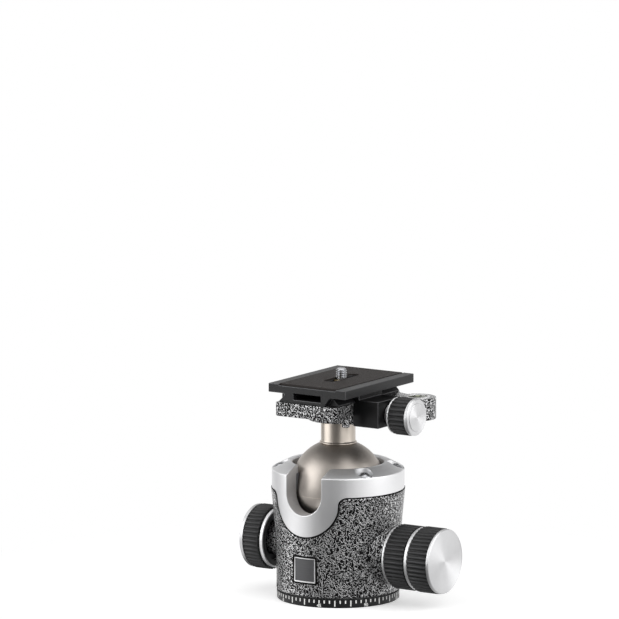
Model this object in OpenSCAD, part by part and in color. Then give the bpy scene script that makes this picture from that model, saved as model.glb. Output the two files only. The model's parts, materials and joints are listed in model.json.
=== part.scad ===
// Center ball head with a drop notch, a friction ring, a separate pan lock and a quick-release clamp with its plate.
// The origin is the mouth of the tripod thread, on the centre of the base's underside. Z points up through the stem,
// +X points at the lock knob, and -Y at the drop notch and the badge. Sizes are millimetres.

/* [Panning base] */
// Outside diameter of the graduated ring
base_d = 70.3; // [68:0.1:76]
// Height of the graduated ring
base_h = 4.9; // [4:0.1:7]
// Chamfer on the ring's lower edge
base_chamfer = 0.4; // [0.2:0.1:1.5]
// Radial width of the graduated ring
scale_ring_w = 4; // [3:0.1:6]
// Angle from one graduation to the next
tick_step = 5; // [5, 10, 15]
// Graduations from one long mark to the next
ticks_per_long = 3; // [2:1:6]
// Graduations from one figure to the next; the mark over a figure is short
ticks_per_figure = 9; // [6:3:18]
// Number of the first graduation with a figure, counted from the notch
first_figure = 3; // [0:1:6]
// Width of a graduation
tick_w = 0.55; // [0.3:0.05:0.8]
// Height of a short graduation
tick_short = 1.8; // [1:0.1:2.5]
// Height of a long graduation
tick_long = 3.4; // [2.6:0.1:3.8]
// Depth of the graduations
tick_depth = 0.25; // [0.1:0.05:0.5]
// Diameter of the tripod thread, 3/8 inch
tripod_thread_d = 9.525; // [6.35:0.001:10]
// Depth of the tripod thread
tripod_thread_depth = 12; // [9:0.5:13]
// Wall of the steel thread insert
insert_wall = 3.2; // [2:0.1:4]
// Solid end above the thread
insert_end = 2; // [1:0.1:4]
// Radius of the drum that the housing turns on
drum_r = 14; // [13:0.1:15]
// Height of the drum above the graduated ring
drum_h = 15.3; // [14.5:0.1:15.5]
// Height of the retaining ring
clip_h = 1.4; // [1:0.1:1.6]
// Depth of the retaining ring's groove
clip_groove = 0.9; // [0.5:0.1:1.5]
// Reach of the retaining ring past the drum
clip_reach = 3.5; // [2:0.1:5]

/* [Housing] */
// Height of the washer between base and housing
washer_h = 0.5; // [0.3:0.1:0.8]
// How far the washer's edge lies inside the housing
washer_inset = 1.6; // [1:0.1:4]
// How far the housing stands out over the graduated ring
waist_overhang = 0.25; // [0:0.05:0.5]
// Chamfer on the housing's edges
housing_chamfer = 0.5; // [0.2:0.1:0.8]
// Height of the housing's top edge
housing_top = 64; // [63:0.1:65]
// Radius at the top of the flare
housing_top_r = 38.3; // [38:0.1:38.5]
// Height where the flare starts
flare_start = 12; // [8:0.5:30]
// Height where the flare ends
flare_end = 62.5; // [58:0.5:62.5]
// Height of the bearing ring on the drum
bearing_h = 6.6; // [5:0.1:7]
// Outside radius of the bearing ring
bearing_r = 27; // [25:0.1:28]
// Radius of the chamber over the bearing ring
chamber_r = 24; // [22:0.1:24.5]
// Height of the lock knob's axis
lock_axis_z = 28; // [27.8:0.1:28.2]
// Height of the pan knob's axis
pan_axis_z = 30.1; // [29.8:0.1:30.3]
// Side of the square badge
badge_side = 14.5; // [10:0.1:16]
// Height of the badge's centre
badge_z = 21.1; // [18:0.1:26]
// Width of the badge's frame
badge_frame_w = 0.8; // [0.5:0.1:1.5]
// Gap round the badge
badge_gap = 0.35; // [0.2:0.05:0.6]
// Depth of the badge's recess
badge_depth = 0.9; // [0.6:0.1:1.5]

/* [Collar] */
// Outside diameter of the collar
collar_d = 76; // [75.4:0.1:76.4]
// Height of the collar's outer top edge
collar_edge_z = 75.4; // [74.5:0.1:76.5]
// Height of the raised rim round the mouth
collar_top_z = 79.3; // [78.7:0.1:79.7]
// Outside radius of the raised rim
collar_rim_r = 29.5; // [28.5:0.1:31]
// Radius of the mouth
mouth_r = 26.4; // [26:0.1:26.8]
// Chamfer on the collar's outer edge
collar_chamfer = 0.5; // [0.2:0.1:0.9]
// Radius of the drop notch
notch_r = 11.8; // [11.2:0.1:12.5]
// Radius of the lobe under the notch
lobe_r = 21; // [19:0.1:22]
// How far the lobe's centre lies under the ball's centre
lobe_drop = 3.6; // [2:0.1:4.5]
// Radius of the fillet between lobe and collar
lobe_fillet = 4; // [2:0.1:5]
// Groove between the collar and the housing
collar_groove = 0.4; // [0.1:0.05:0.6]
// Distance of the collar screws from the middle of the collar's wall
collar_screw_offset = 0.2; // [0:0.05:0.4]
// Angle of the front collar screws from the notch
collar_screw_angle = 60; // [55:1:65]
// Radius of a collar screw's domed head
collar_screw_head_r = 4.4; // [3.8:0.1:4.6]
// Height of a collar screw's domed head
collar_screw_head_h = 2.75; // [2:0.05:3]
// Radius of the hexagon in a collar screw
collar_screw_hex_r = 1.8; // [1.4:0.1:2]
// Gap round a collar screw's head
collar_screw_gap = 0.45; // [0.3:0.05:0.6]
// Radius of a collar screw's thread
collar_screw_r = 2.5; // [2:0.1:2.6]
// Length of a collar screw's thread
collar_screw_l = 18; // [14:0.5:20]
// Depth of the screw heads under the collar's outer edge
collar_screw_sink = 0.4; // [0.2:0.1:1]

/* [Ball] */
// Diameter of the ball
ball_d = 54.4; // [54:0.1:54.8]
// Height of the ball's centre
ball_z = 64.6; // [64.4:0.1:64.8]
// How far the seam lies under the ball's centre
seam_drop = 3; // [2:0.5:8]
// Radius of the ball's hollow
ball_hollow_r = 12; // [6:0.1:14]
// Solid height between hollow and stem
ball_web = 10; // [6:0.1:14]
// Radial space between the ball and the housing's bore
cavity_space = 1; // [0.8:0.1:1.2]
// Space between the ball and its seat ring and cup
seat_gap = 0.15; // [0.1:0.01:0.25]
// Height of the seat ring's top over the ball's centre
seat_rise = 9.8; // [8:0.1:10]
// Thickness of the cup under the ball
cup_floor = 2.2; // [2:0.1:2.6]
// Height of the cup
cup_h = 13.5; // [10:0.1:14]
// Room under the cup
cup_room = 0.9; // [0.6:0.1:1.1]

/* [Stem] */
// Diameter of the stem
stem_d = 19.8; // [18:0.1:20]
// Depth of the stem's socket in the ball
stem_socket = 6; // [4:0.1:8]
// Height of the small foot ring on the stem
stem_foot_h = 1.2; // [0.6:0.1:2]
// How far the foot ring stands out
stem_foot_w = 0.8; // [0.3:0.1:1]

/* [Lock and friction knob] */
// Radius of the lock spindle
wedge_r = 5.2; // [4.5:0.1:5.6]
// Radius of the spindle's tip
wedge_tip_r = 1.2; // [0.8:0.1:2]
// Length of the spindle's cone
wedge_cone_l = 16; // [14:0.1:18]
// Thread pitch of the lock spindle
lock_pitch = 1.5; // [1:0.05:1.75]
// Radius of the plunger on the cone
plunger_r = 5; // [4:0.1:5.5]
// Radius of the lock knob's boss on the housing
lock_boss_r = 15.8; // [14:0.1:16.5]
// Distance of the lock boss's end from the middle
lock_boss_end = 40.6; // [40.4:0.1:41.4]
// How far the bosses flare where they meet the housing
boss_flare = 3; // [1:0.1:4]
// Length of the lock knob's brass bush
lock_bush_l = 7.8; // [5:0.1:9]
// Wall of the lock knob's bush
lock_bush_wall = 2.6; // [1.5:0.1:4]
// Wall of the lock knob's sleeve
lock_sleeve_wall = 3; // [2:0.1:4]
// Gap between a knob and what it turns against
knob_gap = 0.3; // [0.2:0.05:0.6]
// Thickness of the friction ring's bright flange
friction_flange_h = 1.4; // [1:0.1:2]
// Radius of the friction ring's bright flange
friction_flange_r = 17.9; // [17:0.1:18.5]
// Length of the friction ring's grip
friction_grip_l = 13.4; // [11:0.1:15]
// Radius of the friction grip over its ribs
friction_grip_r = 18.6; // [18:0.1:19.5]
// Thickness of the lock knob's bright flange
lock_flange_h = 2; // [1:0.1:2.6]
// Radius of the lock knob's bright flange
lock_flange_r = 18.2; // [17.5:0.1:18.8]
// Length of the lock knob's grip
lock_grip_l = 13.3; // [12:0.1:16]
// Radius of the lock grip over its ribs
lock_grip_r = 18.9; // [18.2:0.1:19.5]
// Solid end of the lock knob's grip past the spindle
lock_grip_solid = 8; // [5:0.5:9]
// Thickness of the lock knob's cap
lock_cap_h = 1.5; // [1:0.1:2.5]
// Radius of the lock knob's cap
lock_cap_r = 18.6; // [18:0.1:19]
// Chamfer on the caps
cap_chamfer = 0.5; // [0.2:0.1:0.8]
// Radius inside the rubber grips
grip_core_r = 15.5; // [14.5:0.1:16]
// Pitch of the ribs on the grips
rib_pitch = 2.7; // [2:0.1:3.5]
// Pitch of the ribs on the clamp knob
clamp_rib_pitch = 3; // [2:0.1:3.5]
// Height of the ribs on the grips
rib_h = 0.6; // [0.3:0.1:0.9]
// Number of conical spring washers
spring_count = 3; // [1:1:4]
// Thickness of a spring washer
spring_t = 0.8; // [0.5:0.1:1]
// Height of a spring washer's cone
spring_cone = 0.6; // [0.3:0.1:0.8]

/* [Pan lock knob] */
// Radius of the pan lock's screw
pan_screw_r = 2.5; // [2:0.1:2.6]
// Thickness of the brake shoe
shoe_t = 5.5; // [4:0.1:6]
// Width of the brake shoe
shoe_w = 12; // [8:0.1:12]
// Edge of the brake shoe over the screw
shoe_rim = 0.6; // [0.4:0.1:0.7]
// Travel of the brake shoe
shoe_travel = 0.6; // [0.3:0.1:0.8]
// Gap between shoe and drum when locked
shoe_gap = 0.1; // [0.05:0.01:0.2]
// Radius of the pan knob's boss on the housing
pan_boss_r = 10; // [8:0.1:12]
// Distance of the pan boss's end from the middle
pan_boss_end = 44.4; // [43.5:0.1:44.6]
// Length of the pan knob's bush
pan_bush_l = 10; // [6:0.1:11]
// Wall of the pan knob's bush
pan_bush_wall = 3; // [2:0.1:4]
// Distance of the pan knob's inner face from the middle
pan_knob_start = 40.9; // [40.5:0.1:41.2]
// Thickness of the pan knob's bright flange
pan_flange_h = 2.2; // [1.5:0.1:2.6]
// Radius of the pan knob's bright flange
pan_flange_r = 17.2; // [16.5:0.1:18.4]
// Radius of the recess in the pan knob's inner face
pan_recess_r = 13.5; // [12.5:0.1:14]
// Depth of the recess in the pan knob's inner face
pan_recess_h = 4; // [3.9:0.1:4.6]
// Length of the pan knob's grip
pan_grip_l = 10.9; // [9:0.1:13]
// Radius of the pan grip over its ribs
pan_grip_r = 18.6; // [18:0.1:19.5]
// Thickness of the pan knob's cap
pan_cap_h = 2.2; // [1:0.1:2.6]
// Radius of the pan knob's cap
pan_cap_r = 18.3; // [17:0.1:18.6]

/* [Clamp] */
// Height of the clamp boss's underside
clamp_base_z = 103.4; // [103.4:0.1:104]
// Radius of the boss on the stem
clamp_boss_r = 17.2; // [15:0.1:17.6]
// Height of the floor that the plate lies on
clamp_floor_z = 116.4; // [116:0.1:117]
// Thickness of the platform
platform_t = 7.9; // [7:0.1:8.5]
// How far the platform stands out past the dovetail
platform_edge = 1.8; // [1.5:0.1:2.2]
// Length of the platform
platform_l = 69.4; // [67:0.1:70]
// Corner radius of the platform
platform_corner = 2.3; // [1:0.1:3]
// Height of the clamp knob's axis
clamp_axis_z = 109.4; // [109.2:0.1:109.8]
// Length of the fixed jaw
fixed_jaw_l = 38; // [30:0.5:40]
// Thickness of the fixed jaw outside the dovetail
fixed_jaw_t = 7; // [5:0.1:7.5]
// Width of the moving jaw
jaw_w = 24; // [23.6:0.1:24.4]
// Length of the moving jaw's block, along the clamp screw
jaw_l = 16.8; // [16:0.1:17.5]
// Thickness of the moving jaw's lip outside the dovetail
jaw_lip_t = 3; // [2:0.1:4]
// Height of the moving jaw's block over the floor
jaw_rise = 1.6; // [1:0.1:3]
// Depth of the moving jaw under the clamp axis
jaw_drop = 6.7; // [6:0.1:6.8]
// Space between the jaws and the dovetail
jaw_space = 0.12; // [0.05:0.01:0.2]
// Space under the slab of the plate
jaw_top_space = 0.7; // [0.4:0.1:1]
// Radius of the ear that holds the level
ear_r = 10.6; // [9.8:0.1:10.8]
// Distance of the ear's centre along X
ear_x = 39.8; // [38.8:0.1:40.6]
// Distance of the ear's centre along Y
ear_y = 22; // [21.5:0.1:24]
// Thickness of the ear
ear_t = 11.9; // [10:0.1:12.5]
// How far the round end of the ear stands over the plate's floor
ear_rise = 0.6; // [0.2:0.1:1]
// Radius of the level's vial
vial_r = 5.6; // [4:0.1:6]
// Depth of the level's vial
vial_h = 6.5; // [4:0.1:8]
// Width of the level's bezel
bezel_w = 1.6; // [1:0.1:2.5]
// Height of the level's bezel
bezel_h = 1.6; // [1:0.1:2]
// How far the bezel stands over the ear
bezel_rise = 0.3; // [0.1:0.1:0.5]
// Radius of the clamp screw
clamp_screw_r = 4; // [3:0.1:4.5]
// Thread pitch of the clamp screw
clamp_pitch = 1.25; // [1:0.05:1.25]
// Turns that open the clamp
clamp_turns = 3; // [2:0.25:3]
// Radius of the guide pins
guide_pin_r = 2; // [1.5:0.1:2.2]
// Distance from one guide pin to the other
guide_pin_span = 16.6; // [15:0.1:17.4]
// Radius of the bolt through the clamp
clamp_bolt_r = 4; // [3:0.1:4.2]
// Radius of the clamp bolt's head
clamp_bolt_head_r = 6.5; // [5.5:0.1:6.6]
// Height of the clamp bolt's head
clamp_bolt_head_h = 4.6; // [4:0.1:4.8]
// Length of the clamp bolt's thread
clamp_bolt_l = 19; // [16:0.5:22]
// Radius of the neck behind the clamp knob
clamp_neck_r = 6; // [5:0.1:7]
// Length of the neck behind the clamp knob
clamp_neck_l = 4.1; // [3:0.1:5]
// Thickness of the clamp knob's bright flange
clamp_flange_h = 0.9; // [0.7:0.1:1.5]
// Radius of the clamp knob's bright flange
clamp_flange_r = 10.4; // [10:0.1:10.6]
// Length of the clamp knob's grip
clamp_grip_l = 11.2; // [9:0.1:13]
// Radius of the clamp grip over its ribs
clamp_grip_r = 10.8; // [10.5:0.1:11]
// Radius inside the clamp knob's grip
clamp_core_r = 8.4; // [7.5:0.1:8.8]
// Thickness of the clamp knob's cap
clamp_cap_h = 2; // [1.5:0.1:3]
// Radius of the clamp knob's cap
clamp_cap_r = 10.6; // [10.2:0.1:10.8]
// Radius of the raised disc on the clamp knob's cap
clamp_disc_r = 7.9; // [6:0.1:8.5]
// Height of the raised disc
clamp_disc_h = 0.3; // [0.1:0.05:0.5]

/* [Plate] */
// Width of the plate
plate_w = 52.4; // [50:0.1:56]
// Length of the plate
plate_l = 71.9; // [70:0.1:76]
// How far the plate's middle lies behind the clamp's middle
plate_shift = 3.2; // [0:0.1:3.4]
// Width over the dovetail
dovetail_w = 38; // [37.6:0.1:38.2]
// Width of the neck over the dovetail
neck_w = 30; // [29.5:0.1:31]
// Upright edge of the dovetail
dovetail_land = 0.5; // [0.3:0.1:0.8]
// Thickness of the plate's slab
slab_t = 5.1; // [4.6:0.1:6]
// Height of the dovetail and its neck
dovetail_h = 5.1; // [5:0.1:5.6]
// Width of the rails beside the pad
rail_w = 6.8; // [5:0.1:8]
// Depth of the pad's bed
bed_depth = 0.8; // [0.4:0.1:1]
// How far the pad stands over the rails
pad_rise = 0.3; // [0.1:0.1:0.6]
// Gap between the pad and its bed
pad_gap = 0.1; // [0.05:0.05:0.3]
// Width of the plate's hollow
hollow_w = 18.6; // [17:0.1:20]
// Height of the plate's hollow
hollow_h = 3.6; // [3.5:0.1:3.8]
// Floor under the plate's hollow
hollow_floor = 2; // [1.6:0.1:2.2]
// Length of the cut-backs in the dovetail's right flange
flange_cut_l = 4; // [2:0.1:6]
// Width of the slot for the camera screw
slot_w = 6.8; // [6.6:0.1:7.4]
// Travel of the camera screw either way
slot_travel = 10; // [5:0.5:12]
// Diameter of the camera screw, 1/4 inch
camera_screw_d = 6.35; // [6:0.01:6.4]
// How far the camera screw stands over the pad
camera_screw_rise = 5.5; // [4.5:0.1:6]
// How far the camera screw's neck stands over the pad
camera_neck_rise = 0.3; // [0.2:0.05:0.5]
// Radius of the camera screw's neck
camera_neck_r = 2.9; // [2.4:0.1:3]
// Radius of the camera screw's head
camera_head_r = 8; // [6.5:0.1:8.2]
// Height of the camera screw's head
camera_head_h = 3.2; // [2.6:0.1:3.3]
// Length of the guide in the slot
guide_l = 10; // [8:0.1:12]
// Width of the slot for the camera screw's key
key_slot_w = 5; // [4:0.1:6]
// Length of the slot for the camera screw's key
key_slot_l = 24; // [20:0.5:26]
// Distance of a stop screw from the plate's middle
stop_distance = 20; // [18.5:0.1:22]
// Radius of a stop screw's thread
stop_screw_r = 1.5; // [1:0.1:1.7]
// Radius of a stop screw's head
stop_head_r = 2.8; // [2.2:0.1:3]
// Height of a stop screw's head
stop_head_h = 1.5; // [1:0.1:1.7]
// Depth of the floor's groove for the stops
groove_depth = 2; // [1.9:0.1:2.4]
// Space at the groove's ends
groove_end = 3; // [2:0.1:5]

/* [Fits] */
// Radial clearance of a shaft that turns or slides in its hole
running_fit = 0.05; // [0.02:0.01:0.08]
// Clearance of a piece that is fastened in its seat
seat_fit = 0.02; // [0.01:0.01:0.05]

/* [Hidden] */

$fn = 96;
over = 1;
far = 200;

// Panning base
base_r = base_d / 2;
scale_ring_r = base_r - scale_ring_w;
tripod_thread_r = tripod_thread_d / 2;
insert_r = tripod_thread_r + insert_wall;
insert_h = tripod_thread_depth + insert_end;
drum_top = base_h + drum_h;
tick_count = 360 / tick_step;
tick_top = base_h - 0.5;

// Housing, from its underside up
housing_z = base_h + washer_h;
waist_r = base_r + waist_overhang;
flare_out = housing_top_r - waist_r;
flare_h = flare_end - flare_start;
flare_side = flare_out < 0 ? -1 : 1;
flare_r = (flare_h * flare_h + flare_out * flare_out) / (2 * max(abs(flare_out), 0.01));
badge_face_r = housing_r(badge_z);
badge_seat_r = badge_face_r - badge_depth;
bearing_top = housing_z + bearing_h;
clip_z = bearing_top + 0.15;
clip_top = clip_z + clip_h;
chamber_top = lock_axis_z - wedge_r - 1.3;
cavity_r = ball_d / 2 + cavity_space;

function housing_r(z) =
    waist_r + flare_side * (flare_r - sqrt(flare_r * flare_r - pow(max(z - flare_start, 0), 2)));

// Ball and its seats
ball_r = ball_d / 2;
seat_r = ball_r + seat_gap;
seat_z = ball_z;
seat_top = ball_z + seat_rise;
cup_z = ball_z - ball_r - seat_gap - cup_floor;
web_top = cup_z - cup_room;

// Collar
collar_r = collar_d / 2;
lobe_z = ball_z - lobe_drop;
lobe_fillet_x = sqrt(pow(lobe_r + lobe_fillet, 2) - pow(housing_top - lobe_fillet - lobe_z, 2));
collar_screw_circle = (cavity_r + collar_r) / 2 - collar_screw_offset;
collar_screw_seat = collar_edge_z - collar_screw_sink;
collar_screw_recess_r = collar_screw_head_r + collar_screw_gap;

// Lock and friction knob, as distances from the middle along +X
wedge_tip = -wedge_cone_l / 2;
wedge_slope = (wedge_r - wedge_tip_r) / wedge_cone_l;
lock_sleeve_r = wedge_r + running_fit + lock_sleeve_wall;
lock_bush_start = lock_boss_end - lock_bush_l;
lock_bush_r = lock_sleeve_r + running_fit + lock_bush_wall;
friction_start = lock_boss_end + knob_gap;
friction_grip_start = friction_start + friction_flange_h;
friction_end = friction_grip_start + friction_grip_l;
lock_flange_start = friction_end + knob_gap;
lock_grip_start = lock_flange_start + lock_flange_h;
lock_grip_end = lock_grip_start + lock_grip_l;
lock_cap_end = lock_grip_end + lock_cap_h;
wedge_end = lock_grip_end - lock_grip_solid;
friction_core_wall = 2;

// Pan lock knob, as distances from the middle along -X
shoe_face = drum_r + shoe_gap;
shoe_back = shoe_face + shoe_t;
shoe_horn = sqrt(pow(shoe_face, 2) - pow(shoe_w / 2, 2));
shoe_z = clip_top + 0.8;
shoe_top = pan_axis_z + pan_screw_r + shoe_rim;
shoe_slot_back = shoe_back + shoe_travel + 0.2;
pan_bush_start = pan_boss_end - pan_bush_l;
pan_bush_r = pan_screw_r + running_fit + pan_bush_wall;
pan_grip_start = pan_knob_start + pan_flange_h;
pan_grip_end = pan_grip_start + pan_grip_l;
pan_cap_end = pan_grip_end + pan_cap_h;

// Plate, from the clamp's floor up
dovetail_half = dovetail_w / 2;
neck_half = neck_w / 2;
flank = dovetail_half - neck_half;
slab_z = clamp_floor_z + dovetail_h;
plate_top = slab_z + slab_t;
bed_z = plate_top - bed_depth;
pad_top = plate_top + pad_rise;
hollow_z = clamp_floor_z + hollow_floor;
hollow_top = hollow_z + hollow_h;
pad_half = plate_w / 2 - rail_w - pad_gap;
slot_half_l = slot_travel + guide_l / 2 + 0.4;
screw_top = pad_top + camera_screw_rise;
screw_thread_z = pad_top + camera_neck_rise;
screw_head_z = hollow_z + 0.2;
stop_z = clamp_floor_z - stop_head_h;

// Clamp
platform_z = clamp_floor_z - platform_t;
platform_half = dovetail_half + platform_edge;
jaw_top = slab_z - jaw_top_space;
jaw_mouth = dovetail_half + jaw_space;
jaw_tip = jaw_mouth - (jaw_top - clamp_floor_z - dovetail_land);
housing_block_x = platform_half - 3.3;
jaw_start = housing_block_x + 0.5;
jaw_end = jaw_start + jaw_l;
jaw_z = clamp_axis_z - jaw_drop;
jaw_block_top = clamp_floor_z + jaw_rise;
jaw_half = jaw_w / 2;
clamp_travel = clamp_pitch * clamp_turns;
bolt_recess_r = clamp_bolt_head_r + 0.5;
bolt_seat_z = clamp_floor_z - groove_depth - clamp_bolt_head_h;
screw_start = bolt_recess_r + 1.3;
pin_end = jaw_end - 4.5;
post_r = platform_corner;
post_x = platform_half - post_r;
post_y = 20.5;
arm_y = jaw_half + 0.6;
arm_back = ear_y + 6;
ear_z = clamp_floor_z - ear_t;
ear_top = clamp_floor_z + ear_rise;
clamp_neck_start = jaw_end + knob_gap;
clamp_flange_start = clamp_neck_start + clamp_neck_l;
clamp_grip_start = clamp_flange_start + clamp_flange_h;
clamp_grip_end = clamp_grip_start + clamp_grip_l;
clamp_cap_end = clamp_grip_end + clamp_cap_h;
groove_half_l = platform_l / 2 - groove_end;
groove_half_w = stop_head_r + 0.6;

// Colours of the real finishes
satin_silver = "silver";
enamel = "dimgray";
rubber = "#303030";
black_anodised = "#242424";
steel = "lightsteelblue";
brass = "#b5a05a";
white_plastic = "whitesmoke";
nickel = "#b0a598";

// Placing: each puts a shape that was drawn along +Z on one of the head's axes

module on_lock_axis() translate([0, 0, lock_axis_z]) rotate([0, 90, 0]) children();

module on_pan_axis() translate([0, 0, pan_axis_z]) rotate([0, -90, 0]) children();

module on_clamp_axis() translate([0, 0, clamp_axis_z]) rotate([0, 90, 0]) children();

module along_y(from, to) translate([0, to, 0]) rotate([90, 0, 0]) linear_extrude(to - from) children();

// Plain shapes

module rod(r, from, to) translate([0, 0, from]) cylinder(r = r, h = to - from);

module cone(r_from, r_to, from, to) translate([0, 0, from]) cylinder(r1 = r_from, r2 = r_to, h = to - from);

module ring(r_out, r_in, from, to) difference() {
    rod(r_out, from, to);
    rod(r_in, from - over, to + over);
}

module block(x, y, z) translate([x[0], y[0], z[0]]) cube([x[1] - x[0], y[1] - y[0], z[1] - z[0]]);

module rounded_rect(w, l, r) {
    square([w - 2 * r, l], center = true);
    square([w, l - 2 * r], center = true);
    for (x = [-1, 1], y = [-1, 1]) translate([x * (w / 2 - r), y * (l / 2 - r)]) circle(r);
}

module hex_socket(r, from, to) translate([0, 0, from]) cylinder(r = r, h = to - from, $fn = 6);

// A disc with a chamfer on its far edge

module chamfered_disc(r, from, to, chamfer) {
    rod(r, from, to - chamfer);
    cone(r, r - chamfer, to - chamfer, to);
}

// A rubber grip: ribs at a steady pitch round a tube

function rib_outline(r_tip, pitch) = let (count = round(2 * PI * r_tip / pitch)) [
    for (i = [0 : count - 1])
        for (corner = [[0, rib_h], [0.12, 0], [0.62, 0], [0.74, rib_h]])
            let (a = (i + corner[0]) * 360 / count)
                (r_tip - corner[1]) * [cos(a), sin(a)]
];

module ribbed_tube(r_tip, r_in, from, to, pitch = rib_pitch)
    translate([0, 0, from]) linear_extrude(to - from) difference() {
        polygon(rib_outline(r_tip, pitch));
        circle(r_in);
    }

// Panning base

module base_disc() color(black_anodised) difference() {
    union() {
        rod(scale_ring_r - seat_fit, 0, base_h);
        rod(drum_r, base_h, drum_top);
    }
    rod(insert_r + seat_fit, -over, insert_h + seat_fit);
    ring(drum_r + over, drum_r - clip_groove, clip_z - seat_fit, clip_top + seat_fit);
}

function is_long_tick(i) = i % ticks_per_long == 0 && i % ticks_per_figure != first_figure;

module tick(angle, height) rotate([0, 0, angle])
    block([-tick_w / 2, tick_w / 2], [-base_r - over, -base_r + tick_depth], [tick_top - height, tick_top]);

module scale_ring() color(black_anodised) difference() {
    union() {
        cone(base_r - base_chamfer, base_r, 0, base_chamfer);
        rod(base_r, base_chamfer, base_h);
    }
    rod(scale_ring_r, -over, base_h + over);
    for (i = [0 : tick_count - 1]) tick(i * tick_step, is_long_tick(i) ? tick_long : tick_short);
}

module thread_insert() color(steel) difference() {
    rod(insert_r, 0, insert_h);
    rod(tripod_thread_r, -over, tripod_thread_depth);
}

module retaining_ring() color(steel) ring(drum_r + clip_reach, drum_r - clip_groove + seat_fit, clip_z, clip_top);

// Housing

module flare_arc() intersection() {
    translate([waist_r + flare_side * flare_r, flare_start]) circle(flare_r, $fn = 400);
    translate([min(waist_r, housing_top_r) - over, flare_start]) square([abs(flare_out) + 2 * over, flare_h]);
}

module housing_side(top_chamfer) {
    polygon([
        [0, housing_z], [waist_r - housing_chamfer, housing_z], [waist_r, housing_z + housing_chamfer],
        [waist_r, flare_start], [0, flare_start]
    ]);
    difference() {
        translate([0, flare_start]) polygon([
            [0, 0], [housing_top_r, 0], [housing_top_r, housing_top - flare_start - top_chamfer],
            [housing_top_r - top_chamfer, housing_top - flare_start], [0, housing_top - flare_start]
        ]);
        if (flare_side > 0) flare_arc();
    }
    if (flare_side < 0) flare_arc();
}

module housing_envelope(top_chamfer) rotate_extrude() housing_side(top_chamfer);

module boss(r, from, to) {
    rod(r, from, to);
    cone(r + boss_flare, r, from, min(waist_r + 2 * boss_flare, to));
}

module lobe_outline(grow) {
    bottom = housing_top - lobe_fillet;
    translate([0, lobe_z]) circle(lobe_r + grow);
    difference() {
        translate([-lobe_fillet_x, bottom - grow]) square([2 * lobe_fillet_x, lobe_fillet + grow]);
        for (side = [-1, 1]) translate([side * lobe_fillet_x, bottom]) circle(lobe_fillet - grow);
    }
}

module lobe_prism(grow) along_y(-far, 0) lobe_outline(grow);

module notch() along_y(-far, 0) {
    translate([0, ball_z]) circle(notch_r);
    translate([-notch_r, ball_z]) square([2 * notch_r, far]);
}

module badge_area(inset) along_y(-far, 0) {
    side = badge_side - 2 * inset;
    translate([-side / 2, badge_z - side / 2]) square(side);
}

module at_collar_screws()
    for (angle = [collar_screw_angle, 180 - collar_screw_angle], side = [-1, 1])
        rotate([0, 0, side * angle]) translate([0, -collar_screw_circle, 0]) children();

module body_shell() color(enamel) difference() {
    union() {
        housing_envelope(housing_chamfer);
        on_lock_axis() boss(lock_boss_r, chamber_r, lock_boss_end);
        on_pan_axis() boss(pan_boss_r, chamber_r, pan_boss_end);
    }
    rod(bearing_r + seat_fit, 0, bearing_top);
    rod(chamber_r, bearing_top - over, chamber_top);
    rod(cavity_r, web_top, far);
    rod(plunger_r + running_fit, lock_axis_z, web_top + over);
    lobe_prism(collar_groove);
    notch();
    at_collar_screws() rod(collar_screw_r + seat_fit, collar_screw_seat - collar_screw_l - over, far);
    on_lock_axis() rod(wedge_r + running_fit, wedge_tip - over, lock_boss_end + over);
    on_lock_axis() rod(lock_bush_r + seat_fit, lock_bush_start, lock_boss_end + over);
    on_pan_axis() rod(pan_screw_r + running_fit, shoe_back, pan_boss_end + over);
    on_pan_axis() rod(pan_bush_r + seat_fit, pan_bush_start, pan_boss_end + over);
    block(
        [-shoe_slot_back, -shoe_horn + running_fit],
        [-shoe_w / 2 - running_fit, shoe_w / 2 + running_fit],
        [chamber_top - over, shoe_top + running_fit]
    );
    intersection() {
        badge_area(-badge_gap);
        ring(far, badge_seat_r, 0, far);
    }
}

module bearing_ring() color(brass) ring(bearing_r, drum_r + running_fit, housing_z, bearing_top);

module pan_washer() color(white_plastic) ring(waist_r - washer_inset, drum_r + 2 * running_fit, base_h, housing_z);

module badge_frame() color(satin_silver) intersection() {
    difference() {
        badge_area(0);
        badge_area(badge_frame_w);
    }
    ring(badge_face_r + 0.15, badge_seat_r + seat_fit, 0, far);
}

module badge_plate() color(enamel) intersection() {
    badge_area(badge_frame_w + seat_fit);
    ring(badge_face_r - 0.1, badge_seat_r + seat_fit, 0, far);
}

// Collar

module collar_ring() rotate_extrude() polygon([
    [cavity_r, housing_top], [collar_r, housing_top], [collar_r, collar_edge_z - collar_chamfer],
    [collar_r - collar_chamfer, collar_edge_z], [collar_rim_r, collar_top_z],
    [mouth_r + collar_chamfer, collar_top_z], [mouth_r, collar_top_z - collar_chamfer],
    [mouth_r, seat_top + seat_fit], [cavity_r, seat_top + seat_fit]
]);

module collar() color(satin_silver) difference() {
    union() {
        collar_ring();
        intersection() {
            housing_envelope(0);
            lobe_prism(0);
            rod(collar_r, 0, far);
        }
    }
    rod(cavity_r, 0, housing_top + over);
    notch();
    at_collar_screws() rod(collar_screw_r + seat_fit, 0, far);
    at_collar_screws() rod(collar_screw_recess_r, collar_screw_seat, far);
}

module dome(r, h) rotate_extrude() intersection() {
    dome_r = (r * r + h * h) / (2 * h);
    translate([0, h - dome_r]) circle(dome_r);
    square([r, h]);
}

module collar_screws() color(steel) at_collar_screws() difference() {
    union() {
        rod(collar_screw_r, collar_screw_seat - collar_screw_l, collar_screw_seat);
        translate([0, 0, collar_screw_seat]) dome(collar_screw_head_r, collar_screw_head_h);
    }
    hex_socket(collar_screw_hex_r, collar_screw_seat + collar_screw_head_h / 3, far);
}

module seat_ring() color(black_anodised) difference() {
    rotate_extrude() difference() {
        translate([0, seat_z]) square([cavity_r - seat_fit, seat_top - seat_z]);
        translate([0, ball_z]) circle(seat_r);
    }
    notch();
}

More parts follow.
